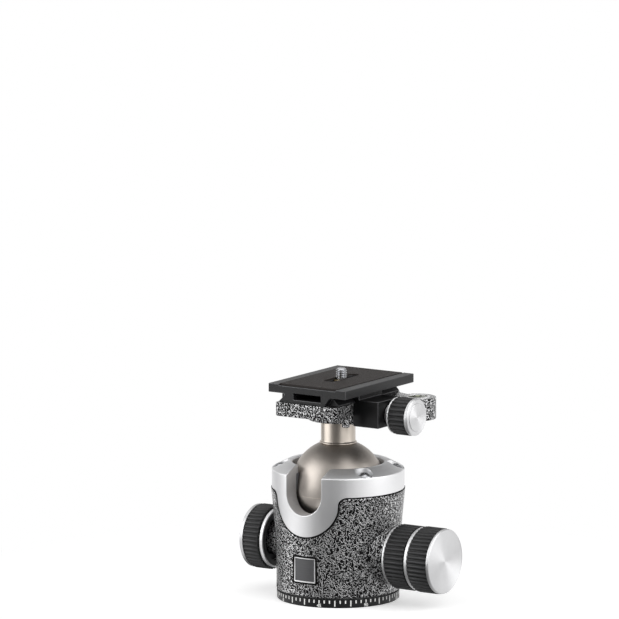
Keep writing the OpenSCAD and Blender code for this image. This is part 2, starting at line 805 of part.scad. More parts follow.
module lock_bush() color(brass) on_lock_axis()
    ring(lock_bush_r, lock_sleeve_r + running_fit, lock_bush_start + seat_fit, lock_boss_end);

module pan_bush() color(brass) on_pan_axis()
    ring(pan_bush_r, pan_screw_r + running_fit, pan_bush_start + seat_fit, pan_boss_end);

// Ball lock

module ball_cup() color(white_plastic) rotate_extrude() difference() {
    translate([0, cup_z]) square([cavity_r - 2 * running_fit, cup_h]);
    translate([0, ball_z]) circle(seat_r);
}

function cone_top(x) = lock_axis_z + wedge_tip_r + wedge_slope * (x - wedge_tip) + running_fit;

module lift_plunger() color(steel) intersection() {
    rod(plunger_r, 0, cup_z);
    along_y(-plunger_r, plunger_r) polygon([
        [-plunger_r, cone_top(-plunger_r)], [plunger_r, cone_top(plunger_r)], [plunger_r, far], [-plunger_r, far]
    ]);
}

module lock_wedge() color(steel) on_lock_axis() {
    cone(wedge_tip_r, wedge_r, wedge_tip, wedge_tip + wedge_cone_l);
    rod(wedge_r, wedge_tip + wedge_cone_l, wedge_end);
}

module lock_hub() color(satin_silver) on_lock_axis() difference() {
    union() {
        rod(lock_sleeve_r, lock_bush_start + over, lock_flange_start);
        rod(lock_flange_r, lock_flange_start, lock_grip_start);
        rod(grip_core_r, lock_grip_start, lock_grip_end);
    }
    rod(wedge_r + running_fit, 0, wedge_end + 2 * lock_pitch);
}

module lock_grip() color(rubber) on_lock_axis()
    ribbed_tube(lock_grip_r, grip_core_r + seat_fit, lock_grip_start, lock_grip_end);

module lock_cap() color(satin_silver) on_lock_axis()
    chamfered_disc(lock_cap_r, lock_grip_end, lock_cap_end, cap_chamfer);

// Friction control

module friction_hub() color(satin_silver) on_lock_axis() {
    ring(friction_flange_r, lock_sleeve_r + running_fit, friction_start, friction_grip_start);
    ring(grip_core_r, grip_core_r - friction_core_wall, friction_grip_start, friction_end);
}

module friction_grip() color(rubber) on_lock_axis()
    ribbed_tube(friction_grip_r, grip_core_r + seat_fit, friction_grip_start, friction_end);

module spring_washer(z) {
    r_in = lock_sleeve_r + 2 * running_fit;
    r_out = grip_core_r - friction_core_wall - 2 * running_fit;
    rotate_extrude() polygon([
        [r_in, z + spring_cone], [r_in, z + spring_cone + spring_t], [r_out, z + spring_t], [r_out, z]
    ]);
}

module spring_washers() color(steel) on_lock_axis()
    for (i = [0 : spring_count - 1])
        spring_washer(friction_grip_start + running_fit + i * (spring_t + running_fit));

// Pan lock

module pan_spindle() color(steel) on_pan_axis() rod(pan_screw_r, shoe_face + over, pan_grip_end - 2);

module pan_hub() color(satin_silver) on_pan_axis() difference() {
    union() {
        rod(pan_flange_r, pan_knob_start, pan_grip_start);
        rod(grip_core_r, pan_grip_start, pan_grip_end);
    }
    rod(pan_recess_r, 0, pan_knob_start + pan_recess_h);
    rod(pan_screw_r + seat_fit, 0, pan_grip_end - 2 + seat_fit);
}

module pan_grip() color(rubber) on_pan_axis()
    ribbed_tube(pan_grip_r, grip_core_r + seat_fit, pan_grip_start, pan_grip_end);

module pan_cap() color(satin_silver) on_pan_axis()
    chamfered_disc(pan_cap_r, pan_grip_end, pan_cap_end, cap_chamfer);

module pan_shoe() color(brass) difference() {
    block([-shoe_back, 0], [-shoe_w / 2, shoe_w / 2], [shoe_z, shoe_top]);
    rod(shoe_face, 0, far);
    on_pan_axis() rod(pan_screw_r + running_fit, 0, far);
}

// Ball and stem

module ball() color(nickel) difference() {
    translate([0, 0, ball_z]) sphere(ball_r);
    rod(stem_d / 2 + running_fit, ball_z + ball_r - 2 * over - stem_socket, far);
    rod(ball_hollow_r, 0, ball_z + ball_r - 2 * over - stem_socket - ball_web);
    ring(far, sqrt(ball_r * ball_r - seam_drop * seam_drop) - 0.2, ball_z - seam_drop - 0.2, ball_z - seam_drop + 0.2);
}

module stem() color(nickel) difference() {
    stem_r = stem_d / 2;
    foot_r = stem_r + stem_foot_w;
    foot_z = ball_z + sqrt(ball_r * ball_r - stem_r * stem_r) + 2 * running_fit;
    union() {
        rod(stem_r, ball_z + ball_r - 2 * over - stem_socket + running_fit, clamp_base_z);
        cone(foot_r, stem_r, foot_z, foot_z + stem_foot_h);
    }
    rod(clamp_bolt_r + seat_fit, bolt_seat_z - clamp_bolt_l - over, far);
}

// Clamp

module clamp_bolt() color(steel) difference() {
    union() {
        rod(clamp_bolt_r, bolt_seat_z - clamp_bolt_l, bolt_seat_z);
        rod(clamp_bolt_head_r, bolt_seat_z, bolt_seat_z + clamp_bolt_head_h);
    }
    hex_socket(clamp_bolt_r - 0.5, bolt_seat_z + 1.5, far);
}

module jaw_flank(outer, low) polygon([
    [outer, low], [outer, jaw_top], [jaw_tip, jaw_top],
    [jaw_mouth, clamp_floor_z + dovetail_land], [jaw_mouth, low]
]);

module ear_end() difference() {
    translate([ear_x, ear_y]) circle(ear_r);
    square([far, arm_y]);
}

module ear_outline() {
    ear_end();
    translate([post_x, arm_y]) square([ear_x - post_x, arm_back - arm_y]);
    polygon([
        [platform_half - over, arm_back - over], [platform_half + ear_r, arm_back - over],
        [platform_half + ear_r, arm_back], [platform_half, platform_l / 2 - platform_corner],
        [platform_half - over, platform_l / 2 - platform_corner]
    ]);
}

module clamp_body() color(enamel) difference() {
    union() {
        translate([0, 0, platform_z]) linear_extrude(platform_t) difference() {
            rounded_rect(2 * platform_half, platform_l, platform_corner);
            translate([housing_block_x, -post_y]) square([far, post_y + arm_y]);
        }
        rod(clamp_boss_r, clamp_base_z, platform_z + over);
        block([screw_start, housing_block_x], [-jaw_half, jaw_half], [clamp_base_z, platform_z + over]);
        for (side = [-1, 1]) translate([post_x, side * post_y, 0]) rod(post_r, clamp_base_z, clamp_floor_z);
        translate([0, 0, ear_z]) linear_extrude(ear_t) ear_outline();
        translate([0, 0, ear_z]) linear_extrude(ear_top - ear_z) ear_end();
        along_y(-fixed_jaw_l / 2, fixed_jaw_l / 2) mirror([1, 0]) jaw_flank(dovetail_half + fixed_jaw_t, platform_z);
    }
    rod(clamp_bolt_r + seat_fit, 0, far);
    rod(bolt_recess_r, bolt_seat_z, far);
    block([-groove_half_w, groove_half_w], [-groove_half_l, groove_half_l], [clamp_floor_z - groove_depth, far]);
    on_clamp_axis() rod(clamp_screw_r + running_fit, screw_start, far);
    at_guide_pins() rod(guide_pin_r + seat_fit, screw_start, far);
    translate([ear_x, ear_y, 0]) {
        rod(vial_r + seat_fit, ear_top - vial_h, far);
        rod(vial_r + bezel_w + seat_fit, ear_top + bezel_rise - bezel_h, far);
    }
}

module at_guide_pins() for (side = [-1, 1])
    translate([0, side * guide_pin_span / 2, 0]) on_clamp_axis() children();

module guide_pins() color(steel) at_guide_pins() rod(guide_pin_r, screw_start + seat_fit, pin_end);

module level_bezel() color(satin_silver) translate([ear_x, ear_y, 0])
    ring(vial_r + bezel_w, vial_r + seat_fit, ear_top + bezel_rise - bezel_h, ear_top + bezel_rise);

module level_vial() color("#b7c96a") translate([ear_x, ear_y, 0])
    chamfered_disc(vial_r, ear_top - vial_h + seat_fit, ear_top + bezel_rise + 0.2, cap_chamfer);

module moving_jaw() color(black_anodised) difference() {
    along_y(-jaw_half, jaw_half) {
        polygon([
            [jaw_start, jaw_z], [jaw_end, jaw_z], [jaw_end, jaw_block_top], [jaw_mouth, jaw_block_top],
            [jaw_mouth, clamp_floor_z - jaw_space], [jaw_start, clamp_floor_z - jaw_space]
        ]);
        jaw_flank(dovetail_half + jaw_lip_t, clamp_floor_z);
    }
    on_clamp_axis() rod(clamp_screw_r + 2 * running_fit, 0, far);
    at_guide_pins() rod(guide_pin_r + running_fit, 0, pin_end + over);
}

module clamp_screw() color(steel) on_clamp_axis() rod(clamp_screw_r, screw_start + seat_fit, clamp_grip_end - 2);

module clamp_hub() color(satin_silver) on_clamp_axis() difference() {
    union() {
        rod(clamp_neck_r, clamp_neck_start, clamp_flange_start);
        rod(clamp_flange_r, clamp_flange_start, clamp_grip_start);
        rod(clamp_core_r, clamp_grip_start, clamp_grip_end);
    }
    rod(clamp_screw_r + seat_fit, 0, clamp_grip_end - 2 + seat_fit);
}

module clamp_grip() color(rubber) on_clamp_axis()
    ribbed_tube(clamp_grip_r, clamp_core_r + seat_fit, clamp_grip_start, clamp_grip_end, clamp_rib_pitch);

module clamp_cap() color(satin_silver) on_clamp_axis() {
    chamfered_disc(clamp_cap_r, clamp_grip_end, clamp_cap_end, cap_chamfer);
    rod(clamp_disc_r, clamp_cap_end - over, clamp_cap_end + clamp_disc_h);
}

// Plate

module at_plate() translate([0, plate_shift, 0]) children();

function plate_edge() = [
    [dovetail_half, clamp_floor_z], [dovetail_half, clamp_floor_z + dovetail_land],
    [neck_half, clamp_floor_z + dovetail_land + flank], [neck_half, slab_z],
    [plate_w / 2, slab_z], [plate_w / 2, plate_top],
    [pad_half + pad_gap, plate_top], [pad_half + pad_gap, bed_z]
];

module plate_section() difference() {
    edge = plate_edge();
    polygon(concat(edge, [for (i = [len(edge) - 1 : -1 : 0]) [-edge[i][0], edge[i][1]]]));
    translate([-hollow_w / 2, hollow_z]) square([hollow_w, hollow_h]);
}

module slot_outline(w, half_l) {
    square([w, 2 * half_l - w], center = true);
    for (side = [-1, 1]) translate([0, side * (half_l - w / 2)]) circle(w / 2);
}

module flange_cut(from, to) along_y(from, to) polygon([
    [neck_half - 3.3, clamp_floor_z - over], [neck_half - 3.3, clamp_floor_z],
    [neck_half, clamp_floor_z + dovetail_land + flank],
    [dovetail_half + over, clamp_floor_z + dovetail_land + flank], [dovetail_half + over, clamp_floor_z - over]
]);

module plate_body() color(black_anodised) at_plate() difference() {
    along_y(-plate_l / 2, plate_l / 2) plate_section();
    flange_cut(-plate_l / 2 - over, -plate_l / 2 + flange_cut_l);
    flange_cut(plate_l / 2 - flange_cut_l, plate_l / 2 + over);
    translate([0, 0, hollow_top - over]) linear_extrude(far) slot_outline(slot_w, slot_half_l);
    translate([0, 0, clamp_floor_z - over]) linear_extrude(hollow_floor + 2 * over) slot_outline(key_slot_w, key_slot_l / 2);
    rod(camera_head_r + 0.3, clamp_floor_z - over, hollow_z + over);
    for (side = [-1, 1]) translate([0, side * stop_distance, 0]) rod(stop_screw_r + seat_fit, 0, hollow_z + over);
}

module plate_pad() color(rubber) at_plate() translate([0, 0, bed_z]) linear_extrude(bed_depth + pad_rise) difference() {
    square([2 * pad_half, plate_l - 3], center = true);
    slot_outline(slot_w + 0.4, slot_half_l);
}

module stop_screws() color(steel) at_plate() for (side = [-1, 1]) translate([0, side * stop_distance, 0]) {
    rod(stop_screw_r, clamp_floor_z, hollow_z);
    rod(stop_head_r, stop_z, clamp_floor_z);
}

module slot_guide() color(brass) at_plate() difference() {
    translate([0, 0, hollow_top + running_fit]) linear_extrude(bed_z - hollow_top - running_fit)
        slot_outline(slot_w - 2 * running_fit, guide_l / 2);
    rod(camera_neck_r + running_fit, 0, far);
}

module camera_screw() color(steel) at_plate() difference() {
    union() {
        rod(camera_head_r, screw_head_z, screw_head_z + camera_head_h);
        rod(camera_neck_r, screw_head_z + camera_head_h, screw_thread_z);
        rod(camera_screw_d / 2, screw_thread_z, screw_top - cap_chamfer);
        cone(camera_screw_d / 2, camera_screw_d / 2 - cap_chamfer, screw_top - cap_chamfer, screw_top);
    }
    hex_socket(camera_neck_r, 0, screw_head_z + 2.2);
}

base_disc();
scale_ring();
thread_insert();
retaining_ring();
body_shell();
bearing_ring();
pan_washer();
badge_frame();
badge_plate();
collar();
collar_screws();
seat_ring();
lock_bush();
pan_bush();
ball_cup();
lift_plunger();
lock_wedge();
lock_hub();
lock_grip();
lock_cap();
friction_hub();
friction_grip();
spring_washers();
pan_spindle();
pan_hub();
pan_grip();
pan_cap();
pan_shoe();
ball();
stem();
clamp_bolt();
clamp_body();
guide_pins();
level_bezel();
level_vial();
moving_jaw();
clamp_screw();
clamp_hub();
clamp_grip();
clamp_cap();
plate_body();
plate_pad();
stop_screws();
slot_guide();
camera_screw();
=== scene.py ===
"""Center ball head: the looks of its pieces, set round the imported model, in metres and in its own frame.

+X points at the lock knob, -Y at the drop notch and the badge, and +Z up through the stem.
"""

import json
import math

import bmesh
import bpy
from bpy.props import FloatProperty, FloatVectorProperty, IntProperty, PointerProperty
from mathutils import Matrix, Vector

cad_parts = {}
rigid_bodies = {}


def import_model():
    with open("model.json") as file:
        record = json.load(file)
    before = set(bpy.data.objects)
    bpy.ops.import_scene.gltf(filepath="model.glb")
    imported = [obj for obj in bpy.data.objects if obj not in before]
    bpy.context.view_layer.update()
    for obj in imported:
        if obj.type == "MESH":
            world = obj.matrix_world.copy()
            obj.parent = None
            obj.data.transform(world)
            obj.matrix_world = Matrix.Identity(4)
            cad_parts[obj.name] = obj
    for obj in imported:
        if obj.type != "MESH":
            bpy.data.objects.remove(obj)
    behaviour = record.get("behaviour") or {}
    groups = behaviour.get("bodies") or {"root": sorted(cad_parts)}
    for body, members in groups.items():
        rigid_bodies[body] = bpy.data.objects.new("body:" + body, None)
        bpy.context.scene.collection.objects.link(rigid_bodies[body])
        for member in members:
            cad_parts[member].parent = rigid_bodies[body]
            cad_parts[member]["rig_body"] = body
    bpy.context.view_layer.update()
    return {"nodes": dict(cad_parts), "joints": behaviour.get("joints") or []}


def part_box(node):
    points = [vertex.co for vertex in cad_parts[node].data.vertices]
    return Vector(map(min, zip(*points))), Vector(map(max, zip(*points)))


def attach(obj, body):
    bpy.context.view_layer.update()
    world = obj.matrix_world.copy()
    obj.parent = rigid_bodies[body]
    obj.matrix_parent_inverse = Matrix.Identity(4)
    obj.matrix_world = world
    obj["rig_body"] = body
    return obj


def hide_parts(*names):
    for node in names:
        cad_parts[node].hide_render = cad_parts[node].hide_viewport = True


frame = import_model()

bl_info = {
    "name": "Center Ball Head",
    "version": (1, 0, 0),
    "blender": (4, 5, 0),
    "location": "3D View > Sidebar > Ball Head",
    "description": "Dresses the pieces of a center ball head and sets up its studio",
    "category": "Object",
}

MM = 0.001
NODES = frame["nodes"]
# Points round a turned piece, and round a screw
TURN_STEPS = 160
SCREW_STEPS = 48
# Radius of the tiny circle that closes a turned piece on its axis
TIP = 0.01 * MM
# Depth of a thread, as a share of its pitch
THREAD_SHARE = 0.61
# Thickness of the paint over the ring's face
PAINT = 0.01 * MM
# Degrees from one graduation to the next, and how many lie from one long mark, or one figure, to the next
MARK_STEP = 5
MARKS_PER_LONG = 3
MARKS_PER_FIGURE = 9
FIRST_FIGURE = 3
# Height of a figure, as a share of its font's size
FIGURE_SHARE = 0.72
# Edges that turn by more degrees than this are broken, or take a bead of painted shade
SHARP_EDGE = 35


def middle(node):
    """Centre of a node's box."""
    low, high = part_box(node)
    return (low + high) / 2


def along_x(node, side):
    """Places a piece turned on local Z on the axis of a knob, facing +X or -X."""
    return Matrix.Translation((0, 0, middle(node).z)) @ Matrix.Rotation(side * math.pi / 2, 4, "Y")


def hinge_height(name):
    """Height of a joint's axis."""
    return next(joint for joint in frame["joints"] if joint["name"] == name)["pos_m"][2]


UPRIGHT = Matrix.Identity(4)
LOCK_AXIS = along_x("lock_cap", 1)
PAN_AXIS = along_x("pan_cap", -1)
CLAMP_AXIS = along_x("clamp_cap", 1)


def round_size(node, axis):
    """Start and end of a round node along an axis, and its radius."""
    low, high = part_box(node)
    start, end = sorted((axis.inverted() @ corner).z for corner in (low, high))
    return start, end, (high.y - low.y) / 2


def rgb(code):
    """Linear colour of an sRGB hex value."""
    channels = [int(code[i:i + 2], 16) / 255 for i in (0, 2, 4)]
    return tuple(c / 12.92 if c <= 0.04045 else ((c + 0.055) / 1.055) ** 2.4 for c in channels)


def length(name, description, millimetres):
    """A length that a user may change."""
    return FloatProperty(
        name=name, description=description, default=millimetres * MM, min=0, unit="LENGTH", precision=5
    )


def count(name, description, number):
    """A number of like details that a user may change."""
    return IntProperty(name=name, description=description, default=number, min=8)


def tint(name, description, code):
    """A colour that a user may change."""
    return FloatVectorProperty(
        name=name, description=description, default=rgb(code), size=3, min=0, max=1, subtype="COLOR"
    )


class BallHeadSizes(bpy.types.PropertyGroup):
    """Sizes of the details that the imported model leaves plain."""

    metal_ease: length("Metal edges", "Width of the broken edges on machined metal", 0.3)
    cast_ease: length("Cast edges", "Width of the soft edges on the enamelled castings", 0.35)
    # Bevels on the jaw and plate, whose grey finish is partly wear and partly a painted highlight
    wear_and_highlight_ease: length("Worn edges", "Width of the rubbed edges on black metal", 0.3)
    fine_ease: length("Fine edges", "Width of the broken edges on screws and the badge's frame", 0.1)
    # Widths of the black beads of painted shade in the housing's joints and round the badge
    joint_shade_width: length("Sealing width", "Width of the black sealing in the housing's joints", 0.8)
    badge_shade: length("Badge sealing", "Width of the black sealing round the badge", 1.2)
    cap_ease: length("Cap rim", "Width of the bright broken rim on the knobs' caps", 0.45)
    cap_dish: length("Cap dish", "How far a cap's face sinks to its middle", 0.12)
    cap_disc: length("Cap disc", "Radius of the raised disc on the clamp knob's cap", 7.9)
    rib_height: length("Rib height", "Height of the ribs on the rubber grips", 0.8)
    grip_shoulder: length("Grip shoulder", "Length of the lower band at either end of a grip", 0.55)
    # Radius of the thin black skin over the pan knob's inner face
    black_skin_radius: length("Lining radius", "Radius of the black lining on the pan knob's inner face", 16.3)
    recess_radius: length("Recess radius", "Radius of the recess in the pan knob's inner face", 13.5)
    recess_depth: length("Recess depth", "Depth of the recess in the pan knob's inner face", 4)
    lock_ribs: count("Lock knob ribs", "Ribs round the lock knob", 44)
    friction_ribs: count("Friction ring ribs", "Ribs round the friction ring", 43)
    pan_ribs: count("Pan knob ribs", "Ribs round the pan knob", 43)
    clamp_ribs: count("Clamp knob ribs", "Ribs round the clamp knob", 23)
    seam_width: length("Ball seam", "Width of the fine seam round the ball", 0.3)
    seam_drop: length("Seam drop", "How far the seam lies under the ball's middle", 3)
    foot_height: length("Stem foot", "Height of the bright ring at the stem's foot", 1.2)
    foot_reach: length("Stem foot reach", "How far the ring at the stem's foot stands out", 0.8)
    mark_width: length("Mark width", "Width of a painted graduation", 0.7)
    mark_short: length("Short marks", "Height of a short graduation", 1.8)
    mark_long: length("Long marks", "Height of a long graduation", 3.4)
    mark_top: length("Marks below the edge", "Distance from the ring's top edge to the graduations", 0.5)
    mark_cut: length("Graduation depth", "Depth of a graduation under the ring's face", 0.25)
    figure_height: length("Figure height", "Height of the figures on the graduated ring", 1.9)
    figure_bold: length("Figure stroke", "How far each figure's outline is spread", 0.06)
    figure_low: length("Figures over the foot", "Height of the figures' feet over the ring's edge", 0.45)
    pad_rib_pitch: length("Pad rib pitch", "Distance from one fine rib of the pad to the next", 1.2)
    pad_rib_height: length("Pad rib height", "Height of the pad's fine ribs", 0.25)
    tripod_radius: length("Tripod thread radius", "Radius of the 3/8 inch thread", 25.4 * 3 / 16)
    tripod_depth: length("Tripod thread depth", "Length of the 3/8 inch thread", 12)
    tripod_pitch: length("Tripod thread pitch", "Pitch of the 3/8 inch thread, 16 to the inch", 25.4 / 16)
    camera_radius: length("Camera thread radius", "Radius of the 1/4 inch thread", 25.4 / 8)
    camera_neck: length("Camera screw neck", "Radius of the camera screw's neck", 2.9)
    camera_head: length("Camera screw head", "Height of the camera screw's head", 3.2)
    camera_pitch: length("Camera thread pitch", "Pitch of the 1/4 inch thread, 20 to the inch", 25.4 / 20)
    window_rise: length("Level window", "How far the level's window domes", 0.4)
    ring_width: length("Level ring", "Width of the black ring round the bubble", 0.25)
    bubble: length("Bubble", "Radius of the bubble in the level", 1.5)
    bubble_rise: length("Bubble height", "How far the bubble stands out", 0.06)


class BallHeadColours(bpy.types.PropertyGroup):
    """Colours of the finishes."""

    enamel_dark: tint("Enamel, dark", "Black ground of the hammertone enamel", "0a0a0b")
    enamel_light: tint("Enamel, light", "Grey flake that gathers on the enamel's wrinkles", "e6e6e7")
    silver: tint("Satin silver", "Anodised collar, rings and badge frame", "ebebec")
    spun: tint("Spun aluminium", "Faces of the knobs' caps", "ddddde")
    ball: tint("Ball", "Hard anodised ball", "b4ada6")
    stem: tint("Stem", "Satin nickel stem", "c8bfb5")
    # Grey of the black metal's broken edges: partly wear, partly a painted highlight
    wear_and_highlight_grey: tint("Worn edges", "Grey of the black metal's rubbed edges", "6a6a6c")
    # Black of the beads of painted shade in the joints
    joint_shade: tint("Sealing", "Black sealing in the joints of the housing", "070707")
    rubber: tint("Rubber", "Ribbed rubber of the grips", "2a2a2b")
    black: tint("Black anodised", "Plate, disc and graduated ring", "1c1c1d")
    jaw: tint("Jaw", "Moving jaw", "0c0c0d")
    steel: tint("Steel", "Screws and pins", "b9babd")
    brass: tint("Brass", "Bushes, bearing and guide", "c2a866")
    plastic: tint("Bearing plastic", "Washer, seat ring and cup", "5a5a5c")
    paint: tint("Graduation paint", "Fill of the marks and figures", "f5f5f3")
    badge: tint("Badge", "Satin enamel of the bare badge", "545456")
    pad: tint("Pad", "Ribbed rubber pad of the plate", "2c2725")
    fluid: tint("Level fluid", "Fluid in the spirit level, over its black floor", "3f441f")
    air: tint("Bubble", "Bubble in the spirit level", "b9c48c")
    floor: tint("Floor", "Pale studio floor", "f2f2f2")


# Materials


def add(tree, kind, inputs=None, **settings):
    """Adds a node with its settings. An input is a value, or the output of another node."""
    node = tree.nodes.new("ShaderNode" + kind)
    for name, value in settings.items():
        setattr(node, name, value)
    for name, value in (inputs or {}).items():
        socket = node.inputs[name]
        if isinstance(value, bpy.types.NodeSocket):
            tree.links.new(value, socket)
        else:
            socket.default_value = value
    return node


def wave_scale(spacing):
    """Scale of a wave texture whose bands lie that many metres apart: scale 1 lays one every pi / 10."""
    return math.pi / 10 / spacing


def colour(name):
    """A finish's colour with its alpha."""
    return (*getattr(bpy.context.scene.ball_head_colours, name), 1)


def shaded(name, **constants):
    """A new material with its shader's plain settings. Returns the material, its tree and the shader."""
    material = bpy.data.materials.new(name)
    material.use_nodes = True
    shader = material.node_tree.nodes["Principled BSDF"]
    for socket, value in constants.items():
        shader.inputs[socket.replace("_", " ")].default_value = value
    return material, material.node_tree, shader


def speckle(tree, size, detail=2.0, roughness=0.5, stretch=(1, 1, 1)):
    """Noise in the piece's own place, with features of the given size in millimetres."""
    place = add(tree, "TexCoord").outputs["Object"]
    scaled = add(tree, "Mapping", {"Vector": place, "Scale": stretch})
    noise = add(tree, "TexNoise", {
        "Vector": scaled.outputs["Vector"], "Scale": 1 / (size * MM),
        "Detail": detail, "Roughness": roughness,
    })
    return noise.outputs["Fac"]


def remapped(tree, value, low, high, to_low, to_high, smooth=False):
    """Maps a range of values to another one."""
    return add(tree, "MapRange", {
        "Value": value, "From Min": low, "From Max": high, "To Min": to_low, "To Max": to_high,
    }, interpolation_type="SMOOTHSTEP" if smooth else "LINEAR").outputs["Result"]


def blended(tree, factor, first, second):
    """Mixes two colours."""
    return add(tree, "Mix", {"Factor": factor, 6: first, 7: second}, data_type="RGBA").outputs[2]


def darker(shade, share):
    """A colour taken down by a share of its light."""
    return tuple(c * (1 - share) for c in shade[:3]) + (1,)


def stained(tree, shader, pattern, tone, share):
    """Gives the shader one of the colours, darker by up to the given share along a pattern."""
    shade = colour(tone)
    tree.links.new(blended(tree, pattern, shade, darker(shade, share)), shader.inputs["Base Color"])


def glossed(tree, shader, pattern, low, high):
    """Varies the shader's roughness between two values along a pattern."""
    tree.links.new(remapped(tree, pattern, 0.3, 0.7, low, high), shader.inputs["Roughness"])


def raised(tree, shader, height, depth):
    """Gives the shader a bump whose full height is the given millimetres."""
    bump = add(tree, "Bump", {"Height": height, "Distance": depth * MM, "Strength": 1.0})
    tree.links.new(bump.outputs["Normal"], shader.inputs["Normal"])


def speckled(name, tone, size, detail, share, **constants):
    """A plain finish with one colour, darker by up to a share in specks of the given millimetres."""
    material, tree, shader = shaded(name, **constants)
    stained(tree, shader, speckle(tree, size, detail), tone, share)
    return material


def hammertone_enamel():
    """Hammertone enamel, sprayed and stoved on cast aluminium: a black ground whose aluminium flake gathers
    on winding wrinkles. The eye sees short light worms about 0.5 mm wide, 1.2 mm apart, that flash where a
    lamp is.
    """
    material, tree, shader = shaded("hammertone_enamel", Roughness=0.18, Specular_IOR_Level=0.2)
    field = speckle(tree, 1.4, detail=0.9, roughness=0.45)
    centred = add(tree, "Math", {0: field, 1: 0.5}, operation="SUBTRACT").outputs[0]
    distance = add(tree, "Math", {0: centred}, operation="ABSOLUTE").outputs[0]
    worm = remapped(tree, distance, 0.01, 0.075, 1, 0, smooth=True)
    dark, light = colour("enamel_dark"), colour("enamel_light")
    ground = blended(tree, speckle(tree, 9, detail=3), dark, darker(dark, 0.4))
    flake = blended(tree, speckle(tree, 0.8), light, darker(light, 0.2))
    tree.links.new(blended(tree, worm, ground, flake), shader.inputs["Base Color"])
    tree.links.new(worm, shader.inputs["Metallic"])
    raised(tree, shader, worm, 0.1)
    return material


def satin_metal(name, tone, roughness, grain=0.5, uneven=0.05):
    """Bead-blasted or tumbled metal: a fine even grain. The real grain of about 0.05 mm is too fine to show,
    so it is drawn half a millimetre wide and very shallow."""
    material, tree, shader = shaded(name, Metallic=1.0)
    cloud = speckle(tree, 14, detail=3)
    stained(tree, shader, cloud, tone, 2 * uneven)
    fine = speckle(tree, grain, detail=2)
    glossed(tree, shader, fine, roughness - 0.04, roughness + 0.04)
    raised(tree, shader, fine, 0.012)
    return material


def satin_anodised_aluminium():
    """Turned, bead-blasted and clear anodised aluminium: soft broad highlights and an even pale grey."""
    return satin_metal("satin_anodised_aluminium", "silver", 0.5)


def turned(name, tone, roughness, spacing, depth, anisotropy):
    """Metal turned on its own local Z: rings round the axis stretch each highlight into two fans. Real feed
    marks lie about 0.1 mm apart, so they are drawn at the given millimetres to show."""
    material, tree, shader = shaded(name, Metallic=1.0, Anisotropic=anisotropy, Anisotropic_Rotation=0.25)
    place = add(tree, "TexCoord").outputs["Object"]
    rings = add(tree, "TexWave", {
        "Vector": place, "Scale": wave_scale(spacing * MM),
        "Distortion": 0.4, "Detail": 1.0, "Detail Scale": 2.0,
    }, wave_type="RINGS", rings_direction="Z").outputs["Fac"]
    cloud = speckle(tree, 6, detail=3)
    stained(tree, shader, cloud, tone, 0.08)
    glossed(tree, shader, cloud, roughness - 0.03, roughness + 0.03)
    tangent = add(tree, "Tangent", direction_type="RADIAL", axis="Z").outputs["Tangent"]
    tree.links.new(tangent, shader.inputs["Tangent"])
    raised(tree, shader, rings, depth)
    return material


def spun_aluminium():
    """Aluminium caps faced on a lathe: two bright fans from the middle, which turn as the light does."""
    return turned("spun_aluminium", "spun", 0.48, 0.8, 0.004, 0.65)


def satin_nickel():
    """Steel stem, ground and satin nickel plated: warm, with two soft upright highlights."""
    return turned("satin_nickel", "stem", 0.4, 0.8, 0.002, 0.3)


def hard_anodised_ball():
    """Aluminium ball, turned, polished and hard anodised: warm grey, smooth, with a soft wide highlight."""
    return satin_metal("hard_anodised_ball", "ball", 0.44, grain=0.4, uneven=0.03)


def black_anodised_aluminium():
    """Black anodised aluminium, bead-blasted: near black, greyer where it faces a lamp."""
    material, tree, shader = shaded("black_anodised_aluminium", Metallic=0.2, Specular_IOR_Level=0.4)
    fine = speckle(tree, 0.5, detail=2)
    stained(tree, shader, speckle(tree, 12, detail=3), "black", 0.15)
    glossed(tree, shader, fine, 0.38, 0.47)
    raised(tree, shader, fine, 0.012)
    return material


def blackened_jaw():
    """Milled and dyed aluminium jaw: deeper black than the plate. Its thin light broken edges take a grey
    finish of their own, a painted highlight over a little wear.
    """
    material, tree, shader = shaded("blackened_jaw", Metallic=0.1, Specular_IOR_Level=0.25)
    milled = speckle(tree, 0.7, detail=1, stretch=(1, 0.12, 1))
    stained(tree, shader, milled, "jaw", 0.25)
    glossed(tree, shader, milled, 0.3, 0.4)
    raised(tree, shader, milled, 0.008)
    return material


def worn_and_highlit_edge():
    """Dyed aluminium on its broken edges, grey: partly rubbed thin, partly a painted highlight along each
    edge, lighter and darker in random patches.
    """
    return speckled("worn_and_highlit_edge", "wear_and_highlight_grey", 3, 3, 0.6, Metallic=0.8, Roughness=0.38)


def painted_joint_shade():
    """Painted shade: a dull black line laid in a joint's gap, where shade falls, that takes no highlight."""
    return speckled("painted_joint_shade", "joint_shade", 1, 2, 0.5, Roughness=0.75, Specular_IOR_Level=0.1)


def moulded_rubber():
    """Moulded black rubber: matt, a little dusty in random patches, with a pebble grain; painted shade takes
    it to near black down between the ribs.
    """
    material, tree, shader = shaded("moulded_rubber", Specular_IOR_Level=0.4)
    grain = speckle(tree, 0.35, detail=3)
    shade = colour("rubber")
    dusty = tuple(c * 1.5 for c in shade[:3]) + (1,)
    # Painted shade: the colour darkens with each point's depth between the ribs, read from the grip's groove
    # attribute
    groove = add(tree, "Attribute", attribute_name="groove").outputs["Fac"]
    ribs = blended(tree, speckle(tree, 5, detail=4), shade, dusty)
    tree.links.new(blended(tree, groove, ribs, darker(shade, 0.9)), shader.inputs["Base Color"])
    glossed(tree, shader, grain, 0.42, 0.58)
    raised(tree, shader, grain, 0.02)
    return material


